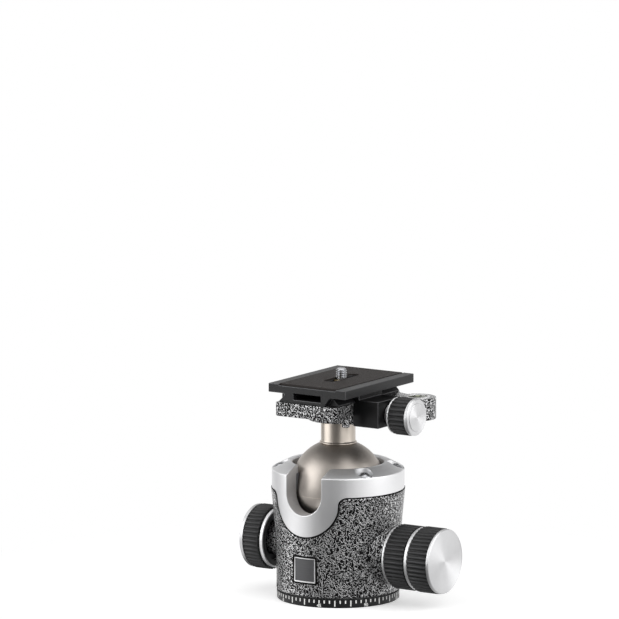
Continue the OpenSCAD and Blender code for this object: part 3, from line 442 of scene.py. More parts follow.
def pad_rubber():
    """Rubber sheet, cast with fine ribs across the plate: brown-black and matt, lined by the light."""
    sizes = bpy.context.scene.ball_head_sizes
    material, tree, shader = shaded("pad_rubber", Specular_IOR_Level=0.3)
    place = add(tree, "TexCoord").outputs["Object"]
    ribs = add(tree, "TexWave", {
        "Vector": place, "Scale": wave_scale(sizes.pad_rib_pitch), "Distortion": 0.0,
    }, wave_type="BANDS", bands_direction="Y").outputs["Fac"]
    stained(tree, shader, speckle(tree, 6, detail=3), "pad", 0.25)
    glossed(tree, shader, speckle(tree, 0.4), 0.6, 0.75)
    raised(tree, shader, ribs, sizes.pad_rib_height / MM)
    return material


def machined_steel():
    """Machined steel: bright, with fine tool marks round the screw."""
    return satin_metal("machined_steel", "steel", 0.27, grain=0.4)


def machined_brass():
    """Machined brass: yellow, with slightly darker handling marks."""
    return satin_metal("machined_brass", "brass", 0.3, grain=0.4, uneven=0.08)


def bearing_plastic():
    """Moulded acetal: smooth and waxy."""
    material, tree, shader = shaded("bearing_plastic", IOR=1.48)
    stained(tree, shader, speckle(tree, 8, detail=2), "plastic", 0.15)
    glossed(tree, shader, speckle(tree, 0.5), 0.4, 0.5)
    return material


def graduation_paint():
    """White enamel wiped into the engraved marks: matt, a little uneven."""
    return speckled("graduation_paint", "paint", 0.8, 3, 0.2, Roughness=0.55)


def satin_badge_enamel():
    """Satin enamel on a pressed sheet: dark grey, with an even fine brushing that runs across."""
    material, tree, shader = shaded("satin_badge_enamel", Metallic=0.4)
    brushed = speckle(tree, 0.5, detail=2, stretch=(0.06, 1, 1))
    stained(tree, shader, brushed, "badge", 0.2)
    glossed(tree, shader, brushed, 0.34, 0.44)
    raised(tree, shader, brushed, 0.01)
    return material


def level_fluid():
    """Yellow-green spirit over the level's black floor, under an acrylic window: dark, with a wet shine."""
    return speckled("level_fluid", "fluid", 4, 1, 0.2, Roughness=0.12)


def level_air():
    """Air under the level's window: the bubble shows as a paler, shiny spot."""
    return speckled("level_air", "air", 1.5, 1, 0.25, Roughness=0.06)


FINISHES = {
    finish.__name__: finish for finish in (
        hammertone_enamel, satin_anodised_aluminium, spun_aluminium, satin_nickel, hard_anodised_ball,
        black_anodised_aluminium, blackened_jaw, worn_and_highlit_edge, painted_joint_shade, moulded_rubber, pad_rubber,
        machined_steel, machined_brass, bearing_plastic, graduation_paint, satin_badge_enamel, level_fluid,
        level_air,
    )
}


def finish(name):
    """The material of that name, made the first time it is asked for."""
    return bpy.data.materials.get(name) or FINISHES[name]()


# Shapes


def meshed(shape, name):
    """The mesh of a finished shape."""
    mesh = bpy.data.meshes.new(name)
    shape.to_mesh(mesh)
    shape.free()
    return mesh


def linked(made):
    """Adds an object to the scene."""
    bpy.context.scene.collection.objects.link(made)
    return made


def piece(name, mesh, node, material, place=UPRIGHT, replace=True, sharp=32):
    """Puts a mesh in place as a piece of the head: it rides with a node's body and takes the node's slot."""
    mesh.shade_smooth()
    mesh.set_sharp_from_angle(angle=math.radians(sharp))
    made = linked(bpy.data.objects.new(name, mesh))
    made.matrix_world = place
    mesh.materials.clear()
    mesh.materials.append(finish(material))
    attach(made, NODES[node]["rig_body"])
    if replace:
        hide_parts(node)
    return made


def dress(nodes, material):
    """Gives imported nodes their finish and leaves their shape."""
    for node in nodes:
        NODES[node].data.materials.clear()
        NODES[node].data.materials.append(finish(material))


def welded(node):
    """A node's shape with its flat faces whole."""
    shape = bmesh.new()
    shape.from_mesh(NODES[node].data)
    bmesh.ops.remove_doubles(shape, verts=shape.verts, dist=0.001 * MM)
    bmesh.ops.dissolve_limit(shape, angle_limit=math.radians(1), verts=shape.verts, edges=shape.edges)
    return shape


def eased_copy(node, ease, material, edge_material=None):
    """A node's shape with its edges broken to the given width, and finished apart if a finish is given."""
    mesh = meshed(welded(node), node)
    made = piece(node + "_eased", mesh, node, material)
    edge = made.modifiers.new("broken edges", "BEVEL")
    edge.width = ease
    edge.segments = 2
    edge.limit_method = "ANGLE"
    edge.angle_limit = math.radians(SHARP_EDGE)
    edge.use_clamp_overlap = False
    edge.miter_outer = "MITER_ARC"
    # The bevel's faces may take their own finish; on black metal it paints a highlight along the edge, over
    # a little wear
    if edge_material:
        mesh.materials.append(finish(edge_material))
        edge.material = 1
    flat = made.modifiers.new("flat faces", "WEIGHTED_NORMAL")
    flat.keep_sharp = True


def shade_bead(name, node, wanted, width):
    """A bead of painted shade, dull black, along those sharp edges of a node that a test of the edge picks.
    """
    source = welded(node)
    shape = bmesh.new()
    for edge in source.edges:
        if len(edge.link_faces) == 2 and edge.calc_face_angle() > math.radians(SHARP_EDGE) and wanted(edge):
            start, end = (vertex.co for vertex in edge.verts)
            run = end - start
            bead = bmesh.ops.create_cone(
                shape, cap_ends=True, segments=6,
                radius1=width / 2, radius2=width / 2, depth=run.length + 0.4 * width,
            )["verts"]
            place = Matrix.Translation((start + end) / 2) @ run.to_track_quat("Z", "Y").to_matrix().to_4x4()
            bmesh.ops.transform(shape, matrix=place, verts=bead)
    source.free()
    if not shape.verts:
        raise RuntimeError("no edge of " + node + " takes the sealing " + name)
    piece(name, meshed(shape, name), node, "painted_joint_shade", replace=False)


def eased(points, ease, steps=4):
    """An outline with each inner corner rounded over about the given length."""
    points = [Vector(point) for point in points]
    outline = [points[0]]
    for before, corner, after in zip(points, points[1:], points[2:]):
        reach = min(ease, 0.45 * (before - corner).length, 0.45 * (after - corner).length)
        start = corner + (before - corner).normalized() * reach
        end = corner + (after - corner).normalized() * reach
        for step in range(steps + 1):
            share = step / steps
            outline.append(start.lerp(corner, share).lerp(corner.lerp(end, share), share))
    outline.append(points[-1])
    return outline


def arc(radius, centre, start, end, steps):
    """Points (distance from the axis, height) of an arc whose angles are degrees from the axis."""
    angles = [math.radians(start + (end - start) * i / steps) for i in range(steps + 1)]
    return [(radius * math.sin(a), centre + radius * math.cos(a)) for a in angles]


def wrapped(rows):
    """A mesh skinned over rows of points that each go once round the axis."""
    shape = bmesh.new()
    rings = [[shape.verts.new(point) for point in row] for row in rows]
    for lower, upper in zip(rings, rings[1:]):
        for i in range(len(lower)):
            following = (i + 1) % len(lower)
            shape.faces.new((lower[i], lower[following], upper[following], upper[i]))
    bmesh.ops.remove_doubles(shape, verts=shape.verts, dist=0.0005 * MM)
    return meshed(shape, "wrapped")


def polar(radius, angle, height):
    """A point at a radius, an angle and a height."""
    return radius * math.cos(angle), radius * math.sin(angle), height


def circle(radius, height, steps=TURN_STEPS):
    """One row of points round the axis."""
    angles = [2 * math.pi * i / steps for i in range(steps)]
    return [polar(radius, a, height) for a in angles]


def lathe(profile, steps=TURN_STEPS):
    """A mesh turned on local Z from (radius, height) points that go up, or round from the inside out."""
    return wrapped([circle(radius, height, steps) for radius, height in profile])


# Shares of the way from one rib to the next: the crown's start and end, and the end of the far flank
CROWN_START = 0.14
CROWN_END = 0.6
FLANK_END = 0.74
# How far a crown falls from its middle to its edges, as a share of the rib
CROWN_FALL = 0.3


def rib_drop(share, height):
    """How far the surface lies under the ribs' tips, at a share of the way from one rib to the next."""
    def step(low, high):
        t = min(max((share - low) / (high - low), 0), 1)
        return t * t * (3 - 2 * t)
    tip = step(0, CROWN_START) * (1 - step(CROWN_END, FLANK_END))
    crown = CROWN_FALL
    if CROWN_START < share < CROWN_END:
        crown *= ((2 * share - CROWN_START - CROWN_END) / (CROWN_END - CROWN_START)) ** 2
    return height * (1 - tip * (1 - crown))


RIB_SAMPLES = (0, 0.035, 0.07, 0.105, 0.14, 0.22, 0.37, 0.52, 0.6, 0.635, 0.67, 0.705, 0.74, 0.87)


def ribbed_grip(node, axis, ribs, sizes):
    """A moulded rubber sleeve with rounded ribs, whose ends drop to a plain shoulder."""
    start, end, tip = round_size(node, axis)
    turns = [(rib + share) / ribs for rib in range(ribs) for share in RIB_SAMPLES]
    drops = [rib_drop(share, sizes.rib_height) for _ in range(ribs) for share in RIB_SAMPLES]
    shoulder = sizes.grip_shoulder
    floor = tip - 1.4 * sizes.rib_height
    inner = tip - 2.4 * sizes.rib_height

    def ring(height, lift):
        """Lift 1 is the ribs' full height and 0 the plain shoulder."""
        radii = [floor + (tip - drop - floor) * lift for drop in drops]
        return [polar(radius, 2 * math.pi * turn, height) for radius, turn in zip(radii, turns)]

    def bore(height):
        return [polar(inner, 2 * math.pi * turn, height) for turn in turns]

    rows = [bore(start), ring(start, 0), ring(start + 0.5 * shoulder, 0)]
    lifts = ((0.6, 0.55), (0.75, 0.85), (1.0, 1.0))
    rows += [ring(start + share * shoulder, lift) for share, lift in lifts]
    rows += [ring(end - share * shoulder, lift) for share, lift in reversed(lifts)]
    rows += [ring(end - 0.5 * shoulder, 0), ring(end, 0), bore(end)]
    mesh = wrapped(rows)
    # Each point's depth under the rib tips; the rubber's finish darkens with it to paint shade between the
    # ribs
    groove = mesh.attributes.new("groove", "FLOAT", "POINT")
    for vertex, depth in zip(mesh.vertices, groove.data):
        depth.value = min(1, (tip - vertex.co.xy.length) / sizes.rib_height)
    piece(node + "_ribbed", mesh, node, "moulded_rubber", axis, sharp=45)


def knob_cap(node, axis, sizes, disc=0.0):
    """A faced cap with a bright broken rim and a slightly dished face."""
    start, end, radius = round_size(node, axis)
    rim = sizes.cap_ease
    if disc:
        step = end - 2.5 * sizes.cap_dish
        notch = 0.15 * MM
        face = [
            (radius, start), (radius, step - rim), (radius - rim, step), (disc + 2 * notch, step),
            (disc + notch, step - notch), (disc, step), (disc, end), (0, end - 0.3 * sizes.cap_dish),
        ]
    else:
        ledge = radius - 2.2 * rim
        face = [
            (radius, start), (radius, end - rim), (radius - rim, end), (ledge, end),
            (ledge, end - sizes.cap_dish), (0, end - 1.5 * sizes.cap_dish),
        ]
    outline = [(0.5 * radius, start)] + eased(face, 0.1 * MM, 3)
    piece(node + "_spun", lathe(outline), node, "spun_aluminium", axis)


def thread_rows(radius, depth, pitch, start, end, taper):
    """Rows of points of a right-hand thread round local Z, which runs out where the end is tapered."""
    steps = max(2, round((end - start) / pitch * 10))
    rows = []
    for step in range(steps + 1):
        height = start + (end - start) * step / steps
        limit = radius - max(0, height - (end - taper))
        row = []
        for i in range(SCREW_STEPS):
            phase = (height / pitch - i / SCREW_STEPS) % 1
            groove = 1 - abs(2 * phase - 1)
            thread = radius - depth * max(0, min(1, 1.25 * groove - 0.12))
            row.append(polar(min(thread, limit), 2 * math.pi * i / SCREW_STEPS, height))
        rows.append(row)
    return rows


# Operators


class BALLHEAD_OT_base(bpy.types.Operator):
    """Panning base: graduated ring with filled marks and figures, disc, drum and threaded bush"""

    bl_idname = "ball_head.base"
    bl_label = "Panning Base"

    def execute(self, context):
        sizes = context.scene.ball_head_sizes
        dress(["base_disc", "scale_ring"], "black_anodised_aluminium")
        dress(["retaining_ring"], "machined_steel")
        self.fill_marks(sizes)
        self.set_figures(context, sizes)
        self.cut_thread(sizes)
        return {"FINISHED"}

    def fill_marks(self, sizes):
        """Paint in the graduations: long at every third, but short over a figure."""
        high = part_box("scale_ring")[1]
        top = high.z - sizes.mark_top
        back = sizes.mark_cut - high.x
        front = -high.x - PAINT
        shape = bmesh.new()
        for i in range(360 // MARK_STEP):
            is_long = i % MARKS_PER_LONG == 0 and i % MARKS_PER_FIGURE != FIRST_FIGURE
            height = sizes.mark_long if is_long else sizes.mark_short
            made = bmesh.ops.create_cube(shape, size=1)["verts"]
            bmesh.ops.scale(shape, vec=(sizes.mark_width, back - front, height), verts=made)
            bmesh.ops.translate(shape, vec=(0, (back + front) / 2, top - height / 2), verts=made)
            bmesh.ops.rotate(shape, matrix=Matrix.Rotation(math.radians(MARK_STEP * i), 3, "Z"), verts=made)
        piece("scale_marks", meshed(shape, "marks"), "scale_ring", "graduation_paint", replace=False)

    def set_figures(self, context, sizes):
        """Figures under every ninth mark, wrapped onto the ring. 45 stands nearest the badge."""
        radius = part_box("scale_ring")[1].x + PAINT
        apart = MARK_STEP * MARKS_PER_FIGURE
        shape = bmesh.new()
        for i in range(360 // apart):
            words = bpy.data.curves.new("figure", "FONT")
            words.body = str(apart * (i + 1) % 360)
            words.size = sizes.figure_height / FIGURE_SHARE
            words.align_x = "CENTER"
            words.offset = sizes.figure_bold
            words.extrude = PAINT
            words.resolution_u = 3
            source = linked(bpy.data.objects.new("figure", words))
            context.view_layer.update()
            flat = source.evaluated_get(context.evaluated_depsgraph_get()).to_mesh()
            place = math.radians(MARK_STEP * FIRST_FIGURE + apart * i)
            for vertex in flat.vertices:
                x, y, z = vertex.co
                angle = place + x / radius
                reach = radius + z
                vertex.co = (reach * math.sin(angle), -reach * math.cos(angle), sizes.figure_low + y)
            shape.from_mesh(flat)
            bpy.data.objects.remove(source)
            bpy.data.curves.remove(words)
        bmesh.ops.recalc_face_normals(shape, faces=shape.faces)
        piece("scale_figures", meshed(shape, "figures"), "scale_ring", "graduation_paint", replace=False)

    def cut_thread(self, sizes):
        """Threaded steel bush: outside, mouth chamfer, thread and closed end in one skin."""
        start, end, outside = round_size("thread_insert", UPRIGHT)
        bore = sizes.tripod_radius
        depth = THREAD_SHARE * sizes.tripod_pitch
        thread_end = start + sizes.tripod_depth
        mouth = 0.4 * MM
        skin = ((TIP, end), (outside, end), (outside, start), (bore + mouth, start))
        rows = [circle(r, z, SCREW_STEPS) for r, z in skin]
        for row in thread_rows(bore, depth, sizes.tripod_pitch, start + mouth, thread_end, 0):
            turned_in = [(2 * bore - depth) / math.hypot(x, y) - 1 for x, y, z in row]
            rows.append([(x * share, y * share, z) for (x, y, z), share in zip(row, turned_in)])
        rows += [circle(TIP, thread_end, SCREW_STEPS)]
        piece("thread_insert_cut", wrapped(rows), "thread_insert", "machined_steel")


class BALLHEAD_OT_housing(bpy.types.Operator):
    """Enamelled housing with its badge, bushes and bearing"""

    bl_idname = "ball_head.housing"
    bl_label = "Housing"

    def execute(self, context):
        sizes = context.scene.ball_head_sizes
        eased_copy("body_shell", sizes.cast_ease, "hammertone_enamel")
        eased_copy("badge_frame", sizes.fine_ease, "satin_anodised_aluminium")
        self.shade_badge_rim(sizes)
        dress(["badge_plate"], "satin_badge_enamel")
        dress(["bearing_ring", "lock_bush", "pan_bush"], "machined_brass")
        dress(["pan_washer"], "bearing_plastic")
        return {"FINISHED"}

    def shade_badge_rim(self, sizes):
        """Painted shade round the badge's frame: a black bead on the mouth of its pocket."""
        low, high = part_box("badge_frame")
        reach = 0.8 * MM

        def at_frame(edge):
            return all(
                low.x - reach < vertex.co.x < high.x + reach and low.z - reach < vertex.co.z < high.z + reach
                and vertex.co.y < low.y + 3 * MM for vertex in edge.verts
            )

        # Painted shade: the shadow round the raised frame, drawn as a black bead
        shade_bead("badge_shade", "body_shell", at_frame, sizes.badge_shade)


class BALLHEAD_OT_collar(bpy.types.Operator):
    """Satin silver collar with its four domed screws and the ball's seat ring"""

    bl_idname = "ball_head.collar"
    bl_label = "Collar"

    def execute(self, context):
        sizes = context.scene.ball_head_sizes
        eased_copy("collar", sizes.metal_ease, "satin_anodised_aluminium")
        eased_copy("collar_screws", sizes.fine_ease, "machined_steel")
        # Painted shade: a black bead along the collar's lower rim stands for the shade in its joint with the
        # housing
        shade_bead("collar_shade", "collar", self.is_lower_rim, sizes.joint_shade_width)
        dress(["seat_ring"], "bearing_plastic")
        return {"FINISHED"}

    @staticmethod
    def is_lower_rim(edge):
        """Whether an edge lies between the collar's side and a face that looks down."""
        away = (edge.verts[0].co + edge.verts[1].co) / 2
        away.z = 0
        away.normalize()
        side, under = sorted(edge.link_faces, key=lambda face: -face.normal.dot(away))
        return side.normal.dot(away) > 0.9 and under.normal.z < -0.02


class BALLHEAD_OT_ball(bpy.types.Operator):
    """Ball with its seam, the stem with its foot ring, and the parts that lift and seat the ball"""

    bl_idname = "ball_head.ball"
    bl_label = "Ball and Stem"

    def execute(self, context):
        sizes = context.scene.ball_head_sizes
        self.turn_ball(sizes)
        self.turn_stem(sizes)
        dress(["ball_cup"], "bearing_plastic")
        dress(["lift_plunger", "lock_wedge", "clamp_bolt"], "machined_steel")
        return {"FINISHED"}

    def turn_ball(self, sizes):
        """Ball, open at the stem's socket, with a fine groove at its seam. A band of paler nickel in the
        groove is a painted highlight along the seam.
        """
        low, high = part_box("ball")
        radius = (high.x - low.x) / 2
        centre = hinge_height("tilt")
        socket = round_size("stem", UPRIGHT)[2] - sizes.foot_reach + 0.05 * MM
        neck = math.degrees(math.asin(socket / radius))
        mouth = math.degrees(math.acos((centre - low.z) / radius))
        hollow = radius * math.sin(math.radians(mouth))
        half_seam = math.degrees(sizes.seam_width / 2 / radius)
        seam = math.degrees(math.acos(-sizes.seam_drop / radius))
        outline = [(socket, centre + 0.5 * radius)]
        outline += arc(radius, centre, neck, seam - half_seam, 70)
        outline += arc(radius - sizes.seam_width / 2, centre, seam, seam, 1)[:1]
        outline += arc(radius, centre, seam + half_seam, 180 - mouth, 56)
        outline += [(hollow, centre - 0.1 * radius), (TIP, centre - 0.1 * radius)]
        piece("ball_turned", lathe(outline), "ball", "hard_anodised_ball", sharp=20)
        # Painted highlight: a band of the paler nickel finish fills the seam's groove
        bright = radius * math.sin(math.radians(seam)) + 0.02 * MM
        deep = bright - sizes.seam_width
        under = centre - sizes.seam_drop - 0.45 * sizes.seam_width
        over = under + 0.9 * sizes.seam_width
        band = [(deep, under), (bright, under), (bright, over), (deep, over), (deep, under)]
        piece("ball_seam_highlight", lathe(band), "ball", "satin_nickel", replace=False)

    def turn_stem(self, sizes):
        """Stem with a rounded foot ring and a small shoulder under the clamp."""
        start, end, foot = round_size("stem", UPRIGHT)
        radius = foot - sizes.foot_reach
        ball_low, ball_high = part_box("ball")
        ball_radius = (ball_high.x - ball_low.x) / 2
        foot_z = hinge_height("tilt") + math.sqrt(ball_radius ** 2 - radius ** 2) + 0.1 * MM
        shape = [
            (radius, start), (radius, foot_z), (foot, foot_z), (foot, foot_z + 0.45 * sizes.foot_height),
            (radius, foot_z + sizes.foot_height), (radius, end), (4.1 * MM, end),
        ]
        piece("stem_turned", lathe(eased(shape, 0.35 * MM), 96), "stem", "satin_nickel")


class BALLHEAD_OT_knobs(bpy.types.Operator):
    """Lock knob, friction ring and pan knob: bright rings, ribbed rubber grips and spun caps"""

    bl_idname = "ball_head.knobs"
    bl_label = "Knobs"

    def execute(self, context):
        sizes = context.scene.ball_head_sizes
        for hub in ("lock_hub", "friction_hub", "pan_hub"):
            eased_copy(hub, sizes.metal_ease, "satin_anodised_aluminium")
        ribbed_grip("lock_grip", LOCK_AXIS, sizes.lock_ribs, sizes)
        ribbed_grip("friction_grip", LOCK_AXIS, sizes.friction_ribs, sizes)
        ribbed_grip("pan_grip", PAN_AXIS, sizes.pan_ribs, sizes)
        knob_cap("lock_cap", LOCK_AXIS, sizes)
        knob_cap("pan_cap", PAN_AXIS, sizes)
        self.black_recess(sizes)
        dress(["spring_washers", "pan_spindle"], "machined_steel")
        dress(["pan_shoe"], "machined_brass")
        return {"FINISHED"}

    def black_recess(self, sizes):
        """A thin black skin, in the rubber finish, over the pan knob's inner face and recess, open round the
        screw.
        """
        start = round_size("pan_hub", PAN_AXIS)[0]
        hole = round_size("pan_spindle", PAN_AXIS)[2] + 0.2 * MM
        face, wall, floor = sizes.black_skin_radius, sizes.recess_radius, start + sizes.recess_depth
        skin = 0.05 * MM
        outline = [
            (hole, floor), (face, floor), (face, start - skin), (wall - skin, start - skin),
            (wall - skin, floor - skin), (hole, floor - skin), (hole, floor),
        ]
        piece("pan_black_skin", lathe(outline), "pan_hub", "moulded_rubber", PAN_AXIS, replace=False)


class BALLHEAD_OT_clamp(bpy.types.Operator):
    """Enamelled clamp platform, black moving jaw, clamp knob and guide pins"""

    bl_idname = "ball_head.clamp"
    bl_label = "Clamp"

    def execute(self, context):
        sizes = context.scene.ball_head_sizes
        eased_copy("clamp_body", sizes.cast_ease, "hammertone_enamel")
        # The jaw's broken edges take a grey finish: a painted highlight over a little wear
        eased_copy("moving_jaw", sizes.wear_and_highlight_ease, "blackened_jaw", "worn_and_highlit_edge")
        eased_copy("clamp_hub", sizes.metal_ease, "satin_anodised_aluminium")
        ribbed_grip("clamp_grip", CLAMP_AXIS, sizes.clamp_ribs, sizes)
        knob_cap("clamp_cap", CLAMP_AXIS, sizes, disc=sizes.cap_disc)
        dress(["guide_pins", "clamp_screw"], "machined_steel")
        return {"FINISHED"}


class BALLHEAD_OT_level(bpy.types.Operator):
    """Round spirit level: bezel, domed window, centring ring and bubble"""

    bl_idname = "ball_head.level"
    bl_label = "Spirit Level"

    def execute(self, context):
        sizes = context.scene.ball_head_sizes
        eased_copy("level_bezel", sizes.fine_ease, "satin_anodised_aluminium")
        start, end, radius = round_size("level_vial", UPRIGHT)
        place = Matrix.Translation((*middle("level_vial").xy, 0))
        top = end - sizes.bubble_rise
        rise = sizes.window_rise
        dome = (radius * radius + rise * rise) / (2 * rise)
        widest = math.degrees(math.asin(radius / dome))
        window = [(TIP, start), (radius, start)] + arc(dome, top - dome, widest, 0.02, 14)
        piece("level_window", lathe(window, 96), "level_vial", "level_fluid", place)
        inner = sizes.bubble + 0.7 * MM
        outer = inner + sizes.ring_width
        ring = [(inner, top - rise), (inner, end), (outer, end), (outer, top - rise)]
        piece("level_ring", lathe(ring, 64), "level_vial", "blackened_jaw", place, replace=False)
        shoulder = top + 0.7 * sizes.bubble_rise
        bubble = [(sizes.bubble, top - rise), (0.9 * sizes.bubble, shoulder), (TIP, end)]
        piece("level_bubble", lathe(bubble, 48), "level_vial", "level_air", place, replace=False)
        return {"FINISHED"}


class BALLHEAD_OT_plate(bpy.types.Operator):
    """Quick-release plate with its ribbed pad, stop screws, guide and threaded camera screw"""

    bl_idname = "ball_head.plate"
    bl_label = "Plate"

    def execute(self, context):
        sizes = context.scene.ball_head_sizes
        # The plate's broken edges take a grey finish: a painted highlight over a little wear
        eased_copy("plate_body", sizes.wear_and_highlight_ease, "black_anodised_aluminium", "worn_and_highlit_edge")
        dress(["plate_pad"], "pad_rubber")
        eased_copy("stop_screws", sizes.fine_ease, "machined_steel")
        dress(["slot_guide"], "machined_brass")
        self.cut_camera_screw(sizes)
        return {"FINISHED"}

    def cut_camera_screw(self, sizes):
        """Camera screw: head with its hexagon socket, neck and thread, in one skin."""
        start, end, head = round_size("camera_screw", UPRIGHT)
        place = Matrix.Translation((0, middle("camera_screw").y, 0))
        depth = THREAD_SHARE * sizes.camera_pitch
        neck = sizes.camera_neck
        pad_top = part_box("plate_pad")[1].z
        head_top = start + sizes.camera_head
        socket = 0.87 * neck
        socket_end = start + 0.7 * sizes.camera_head
        underside = [
            (socket, socket_end), (socket, start), (head, start), (head, head_top), (neck, head_top),
        ]
        rows = [circle(TIP, socket_end, SCREW_STEPS)]
        rows += [circle(r, z, SCREW_STEPS) for r, z in eased(underside, 0.3 * MM)]
        rows += [circle(neck - 0.2 * MM, pad_top + 0.2 * MM, SCREW_STEPS)]
        first = pad_top + 0.3 * MM
        rows += thread_rows(sizes.camera_radius, depth, sizes.camera_pitch, first, end, 0.8 * MM)
        rows += [circle(TIP, end, SCREW_STEPS)]
        piece("camera_screw_cut", wrapped(rows), "camera_screw", "machined_steel", place)


class BALLHEAD_OT_stage(bpy.types.Operator):
    """Pale studio: floor, two soft lamps, room light and the camera"""

    bl_idname = "ball_head.stage"
    bl_label = "Studio"

    camera_turn = math.radians(33.28)
    camera_rise = math.radians(9.33)
    camera_distance = 5.0
    camera_left = 0.01644
    camera_height = 0.16683
    frame_pixels = 619
    focal_pixels = 8760
    sensor = 36
    lamp_distance = 1.2
    lamp_aim = 0.06
    flag_turn = math.radians(-118)
    ambient = 0.4
    floor_fill = 0.42
    floor_radius = 3.0
    floor_gap = 0.02 * MM

    def execute(self, context):
        self.lay_floor()
        self.light_room(context)
        self.hang_lamp("left lamp", turn=-80, width=1.1, height=1.2, rise=0.5, power=11.0)
        self.hang_lamp("right lamp", turn=53, width=2.0, height=1.5, rise=0.55, power=19.0)
        self.set_camera(context)
        context.scene.view_settings.view_transform = "Standard"
        return {"FINISHED"}

    def mirrored_room(self, tree, direction):
        """How bright the room is in a mirror: dimmer towards the camera and behind a flag on the left."""
        def toward(turn):
            side = (math.sin(turn), -math.cos(turn), 0)
            return add(tree, "VectorMath", {0: direction, 1: side}, operation="DOT_PRODUCT").outputs["Value"]
        camera_side = remapped(tree, toward(self.camera_turn), 0.2, 0.95, 1.0, 0.18, smooth=True)
        left = toward(self.camera_turn + self.flag_turn)
        flag = remapped(tree, left, 0.955, 0.99, 1.0, 0.15, smooth=True)
        return self.combined(tree, "MULTIPLY", camera_side, flag)

    def combined(self, tree, operation, first, second):
        """Two values put together by one operation."""
        return add(tree, "Math", {0: first, 1: second}, operation=operation).outputs[0]

    def shown(self, tree, path):
        """1 for a ray that a mirror or a glass sends on."""
        glossy, through = path.outputs["Is Glossy Ray"], path.outputs["Is Transmission Ray"]
        return self.combined(tree, "MAXIMUM", glossy, through)

    def lay_floor(self):
        """A round floor, white where nothing shades it, that fades into the white backdrop."""
        material, tree, shader = shaded("studio_floor", Roughness=0.9)
        shader.inputs["Base Color"].default_value = colour("floor")
        path = add(tree, "LightPath")
        place = add(tree, "TexCoord").outputs["Object"]
        away = add(tree, "VectorMath", {0: place}, operation="NORMALIZE").outputs["Vector"]
        mirrored = self.shown(tree, path)
        seen = path.outputs["Is Camera Ray"]
        room = self.combined(tree, "MULTIPLY", self.mirrored_room(tree, away), mirrored)
        level = self.combined(tree, "MAXIMUM", seen, room)
        reach = add(tree, "VectorMath", {0: place}, operation="LENGTH").outputs["Value"]
        far = remapped(tree, reach, 0.07, 0.24, 0, 1, smooth=True)
        share = self.combined(tree, "MAXIMUM", self.combined(tree, "MULTIPLY", far, seen), mirrored)
        fill = self.combined(tree, "MULTIPLY", level, self.floor_fill)
        glow = add(tree, "Emission", {"Color": (1, 1, 1, 1), "Strength": fill})
        near = add(tree, "AddShader", {0: shader.outputs["BSDF"], 1: glow.outputs["Emission"]})
        backdrop = add(tree, "Emission", {"Color": (1, 1, 1, 1), "Strength": level})
        mixed = add(tree, "MixShader", {
            "Fac": share, 1: near.outputs["Shader"], 2: backdrop.outputs["Emission"],
        })
        tree.links.new(mixed.outputs["Shader"], tree.nodes["Material Output"].inputs["Surface"])
        shape = bmesh.new()
        bmesh.ops.create_circle(shape, cap_ends=True, radius=self.floor_radius, segments=64)
        mesh = meshed(shape, "studio_floor")
        mesh.materials.append(material)
        floor = linked(bpy.data.objects.new("studio_floor", mesh))
        floor.location.z = -self.floor_gap

    def light_room(self, context):
        """White backdrop at the horizon, and a room that gets darker overhead and behind the camera."""
        world = bpy.data.worlds.new("studio_room")
        context.scene.world = world
        world.use_nodes = True
        tree = world.node_tree
        path = add(tree, "LightPath")
        direction = add(tree, "TexCoord").outputs["Generated"]
        height = add(tree, "SeparateXYZ", {0: direction}).outputs["Z"]
        upper = remapped(tree, height, 0.15, 0.5, 1.0, 0.35, smooth=True)
        ceiling = remapped(tree, height, 0.68, 0.95, 0.0, 1.7, smooth=True)
        walls = self.combined(tree, "MULTIPLY", upper, self.mirrored_room(tree, direction))
        mirrored = self.combined(tree, "MAXIMUM", walls, ceiling)
        unseen = add(tree, "Mix", {
            "Factor": self.shown(tree, path), "A": self.ambient, "B": mirrored,
        }).outputs["Result"]
        strength = add(tree, "Mix", {
            "Factor": path.outputs["Is Camera Ray"], "A": unseen, "B": 1.0,
        }).outputs["Result"]
        background = tree.nodes["Background"]
        background.inputs["Color"].default_value = (1, 1, 1, 1)
        tree.links.new(strength, background.inputs["Strength"])

    def hang_lamp(self, name, turn, width, height, rise, power):
        """A soft box, at an angle in degrees round from the camera and a height, aimed at the head."""
        lamp = linked(bpy.data.objects.new(name, bpy.data.lights.new(name, "AREA")))
        lamp.data.shape = "RECTANGLE"
        lamp.data.size = width
        lamp.data.size_y = height
        lamp.data.energy = power
        angle = self.camera_turn + math.radians(turn)
        away = self.lamp_distance
        lamp.location = (away * math.sin(angle), -away * math.cos(angle), rise)
        aim = Vector((0, 0, self.lamp_aim)) - lamp.location
        lamp.rotation_euler = aim.to_track_quat("-Z", "Y").to_euler()
        lamp.visible_camera = False

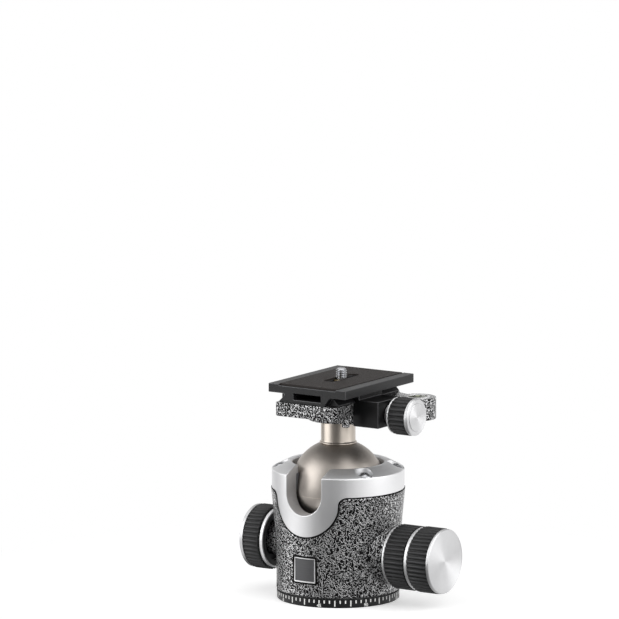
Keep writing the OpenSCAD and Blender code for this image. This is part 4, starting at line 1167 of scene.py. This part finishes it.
    def set_camera(self, context):
        """Camera with a long lens, far off to the front right, with the head low in the frame."""
        turn, rise = self.camera_turn, self.camera_rise
        back = Vector((math.sin(turn) * math.cos(rise), -math.cos(turn) * math.cos(rise), math.sin(rise)))
        right = Vector((math.cos(turn), math.sin(turn), 0))
        up = back.cross(right)
        camera = linked(bpy.data.objects.new("camera", bpy.data.cameras.new("camera")))
        camera.data.sensor_width = self.sensor
        camera.data.lens = self.focal_pixels * self.sensor / self.frame_pixels
        camera.data.clip_start = 0.1
        camera.data.clip_end = 100
        place = Matrix((right, up, back)).transposed().to_4x4()
        sideways = right * self.camera_left
        place.translation = back * self.camera_distance - sideways + Vector((0, 0, self.camera_height))
        camera.matrix_world = place
        context.scene.camera = camera


OPERATORS = (
    BALLHEAD_OT_base, BALLHEAD_OT_housing, BALLHEAD_OT_collar, BALLHEAD_OT_ball, BALLHEAD_OT_knobs,
    BALLHEAD_OT_clamp, BALLHEAD_OT_level, BALLHEAD_OT_plate, BALLHEAD_OT_stage,
)


class BALLHEAD_PT_pieces(bpy.types.Panel):
    """Sizes and colours of the ball head, and a button for each group of pieces"""

    bl_idname = "BALLHEAD_PT_pieces"
    bl_label = "Ball Head"
    bl_space_type = "VIEW_3D"
    bl_region_type = "UI"
    bl_category = "Ball Head"

    def draw(self, context):
        for operator in OPERATORS:
            self.layout.operator(operator.bl_idname)
        for group in (context.scene.ball_head_sizes, context.scene.ball_head_colours):
            box = self.layout.box()
            for name in group.__annotations__:
                box.prop(group, name)


CLASSES = (BallHeadSizes, BallHeadColours, *OPERATORS, BALLHEAD_PT_pieces)


def register():
    for cls in CLASSES:
        bpy.utils.register_class(cls)
    bpy.types.Scene.ball_head_sizes = PointerProperty(type=BallHeadSizes)
    bpy.types.Scene.ball_head_colours = PointerProperty(type=BallHeadColours)


def unregister():
    del bpy.types.Scene.ball_head_colours
    del bpy.types.Scene.ball_head_sizes
    for cls in reversed(CLASSES):
        bpy.utils.unregister_class(cls)


def main():
    register()
    for operator in OPERATORS:
        group, name = operator.bl_idname.split(".")
        getattr(getattr(bpy.ops, group), name)()


if __name__ == "__main__":
    main()
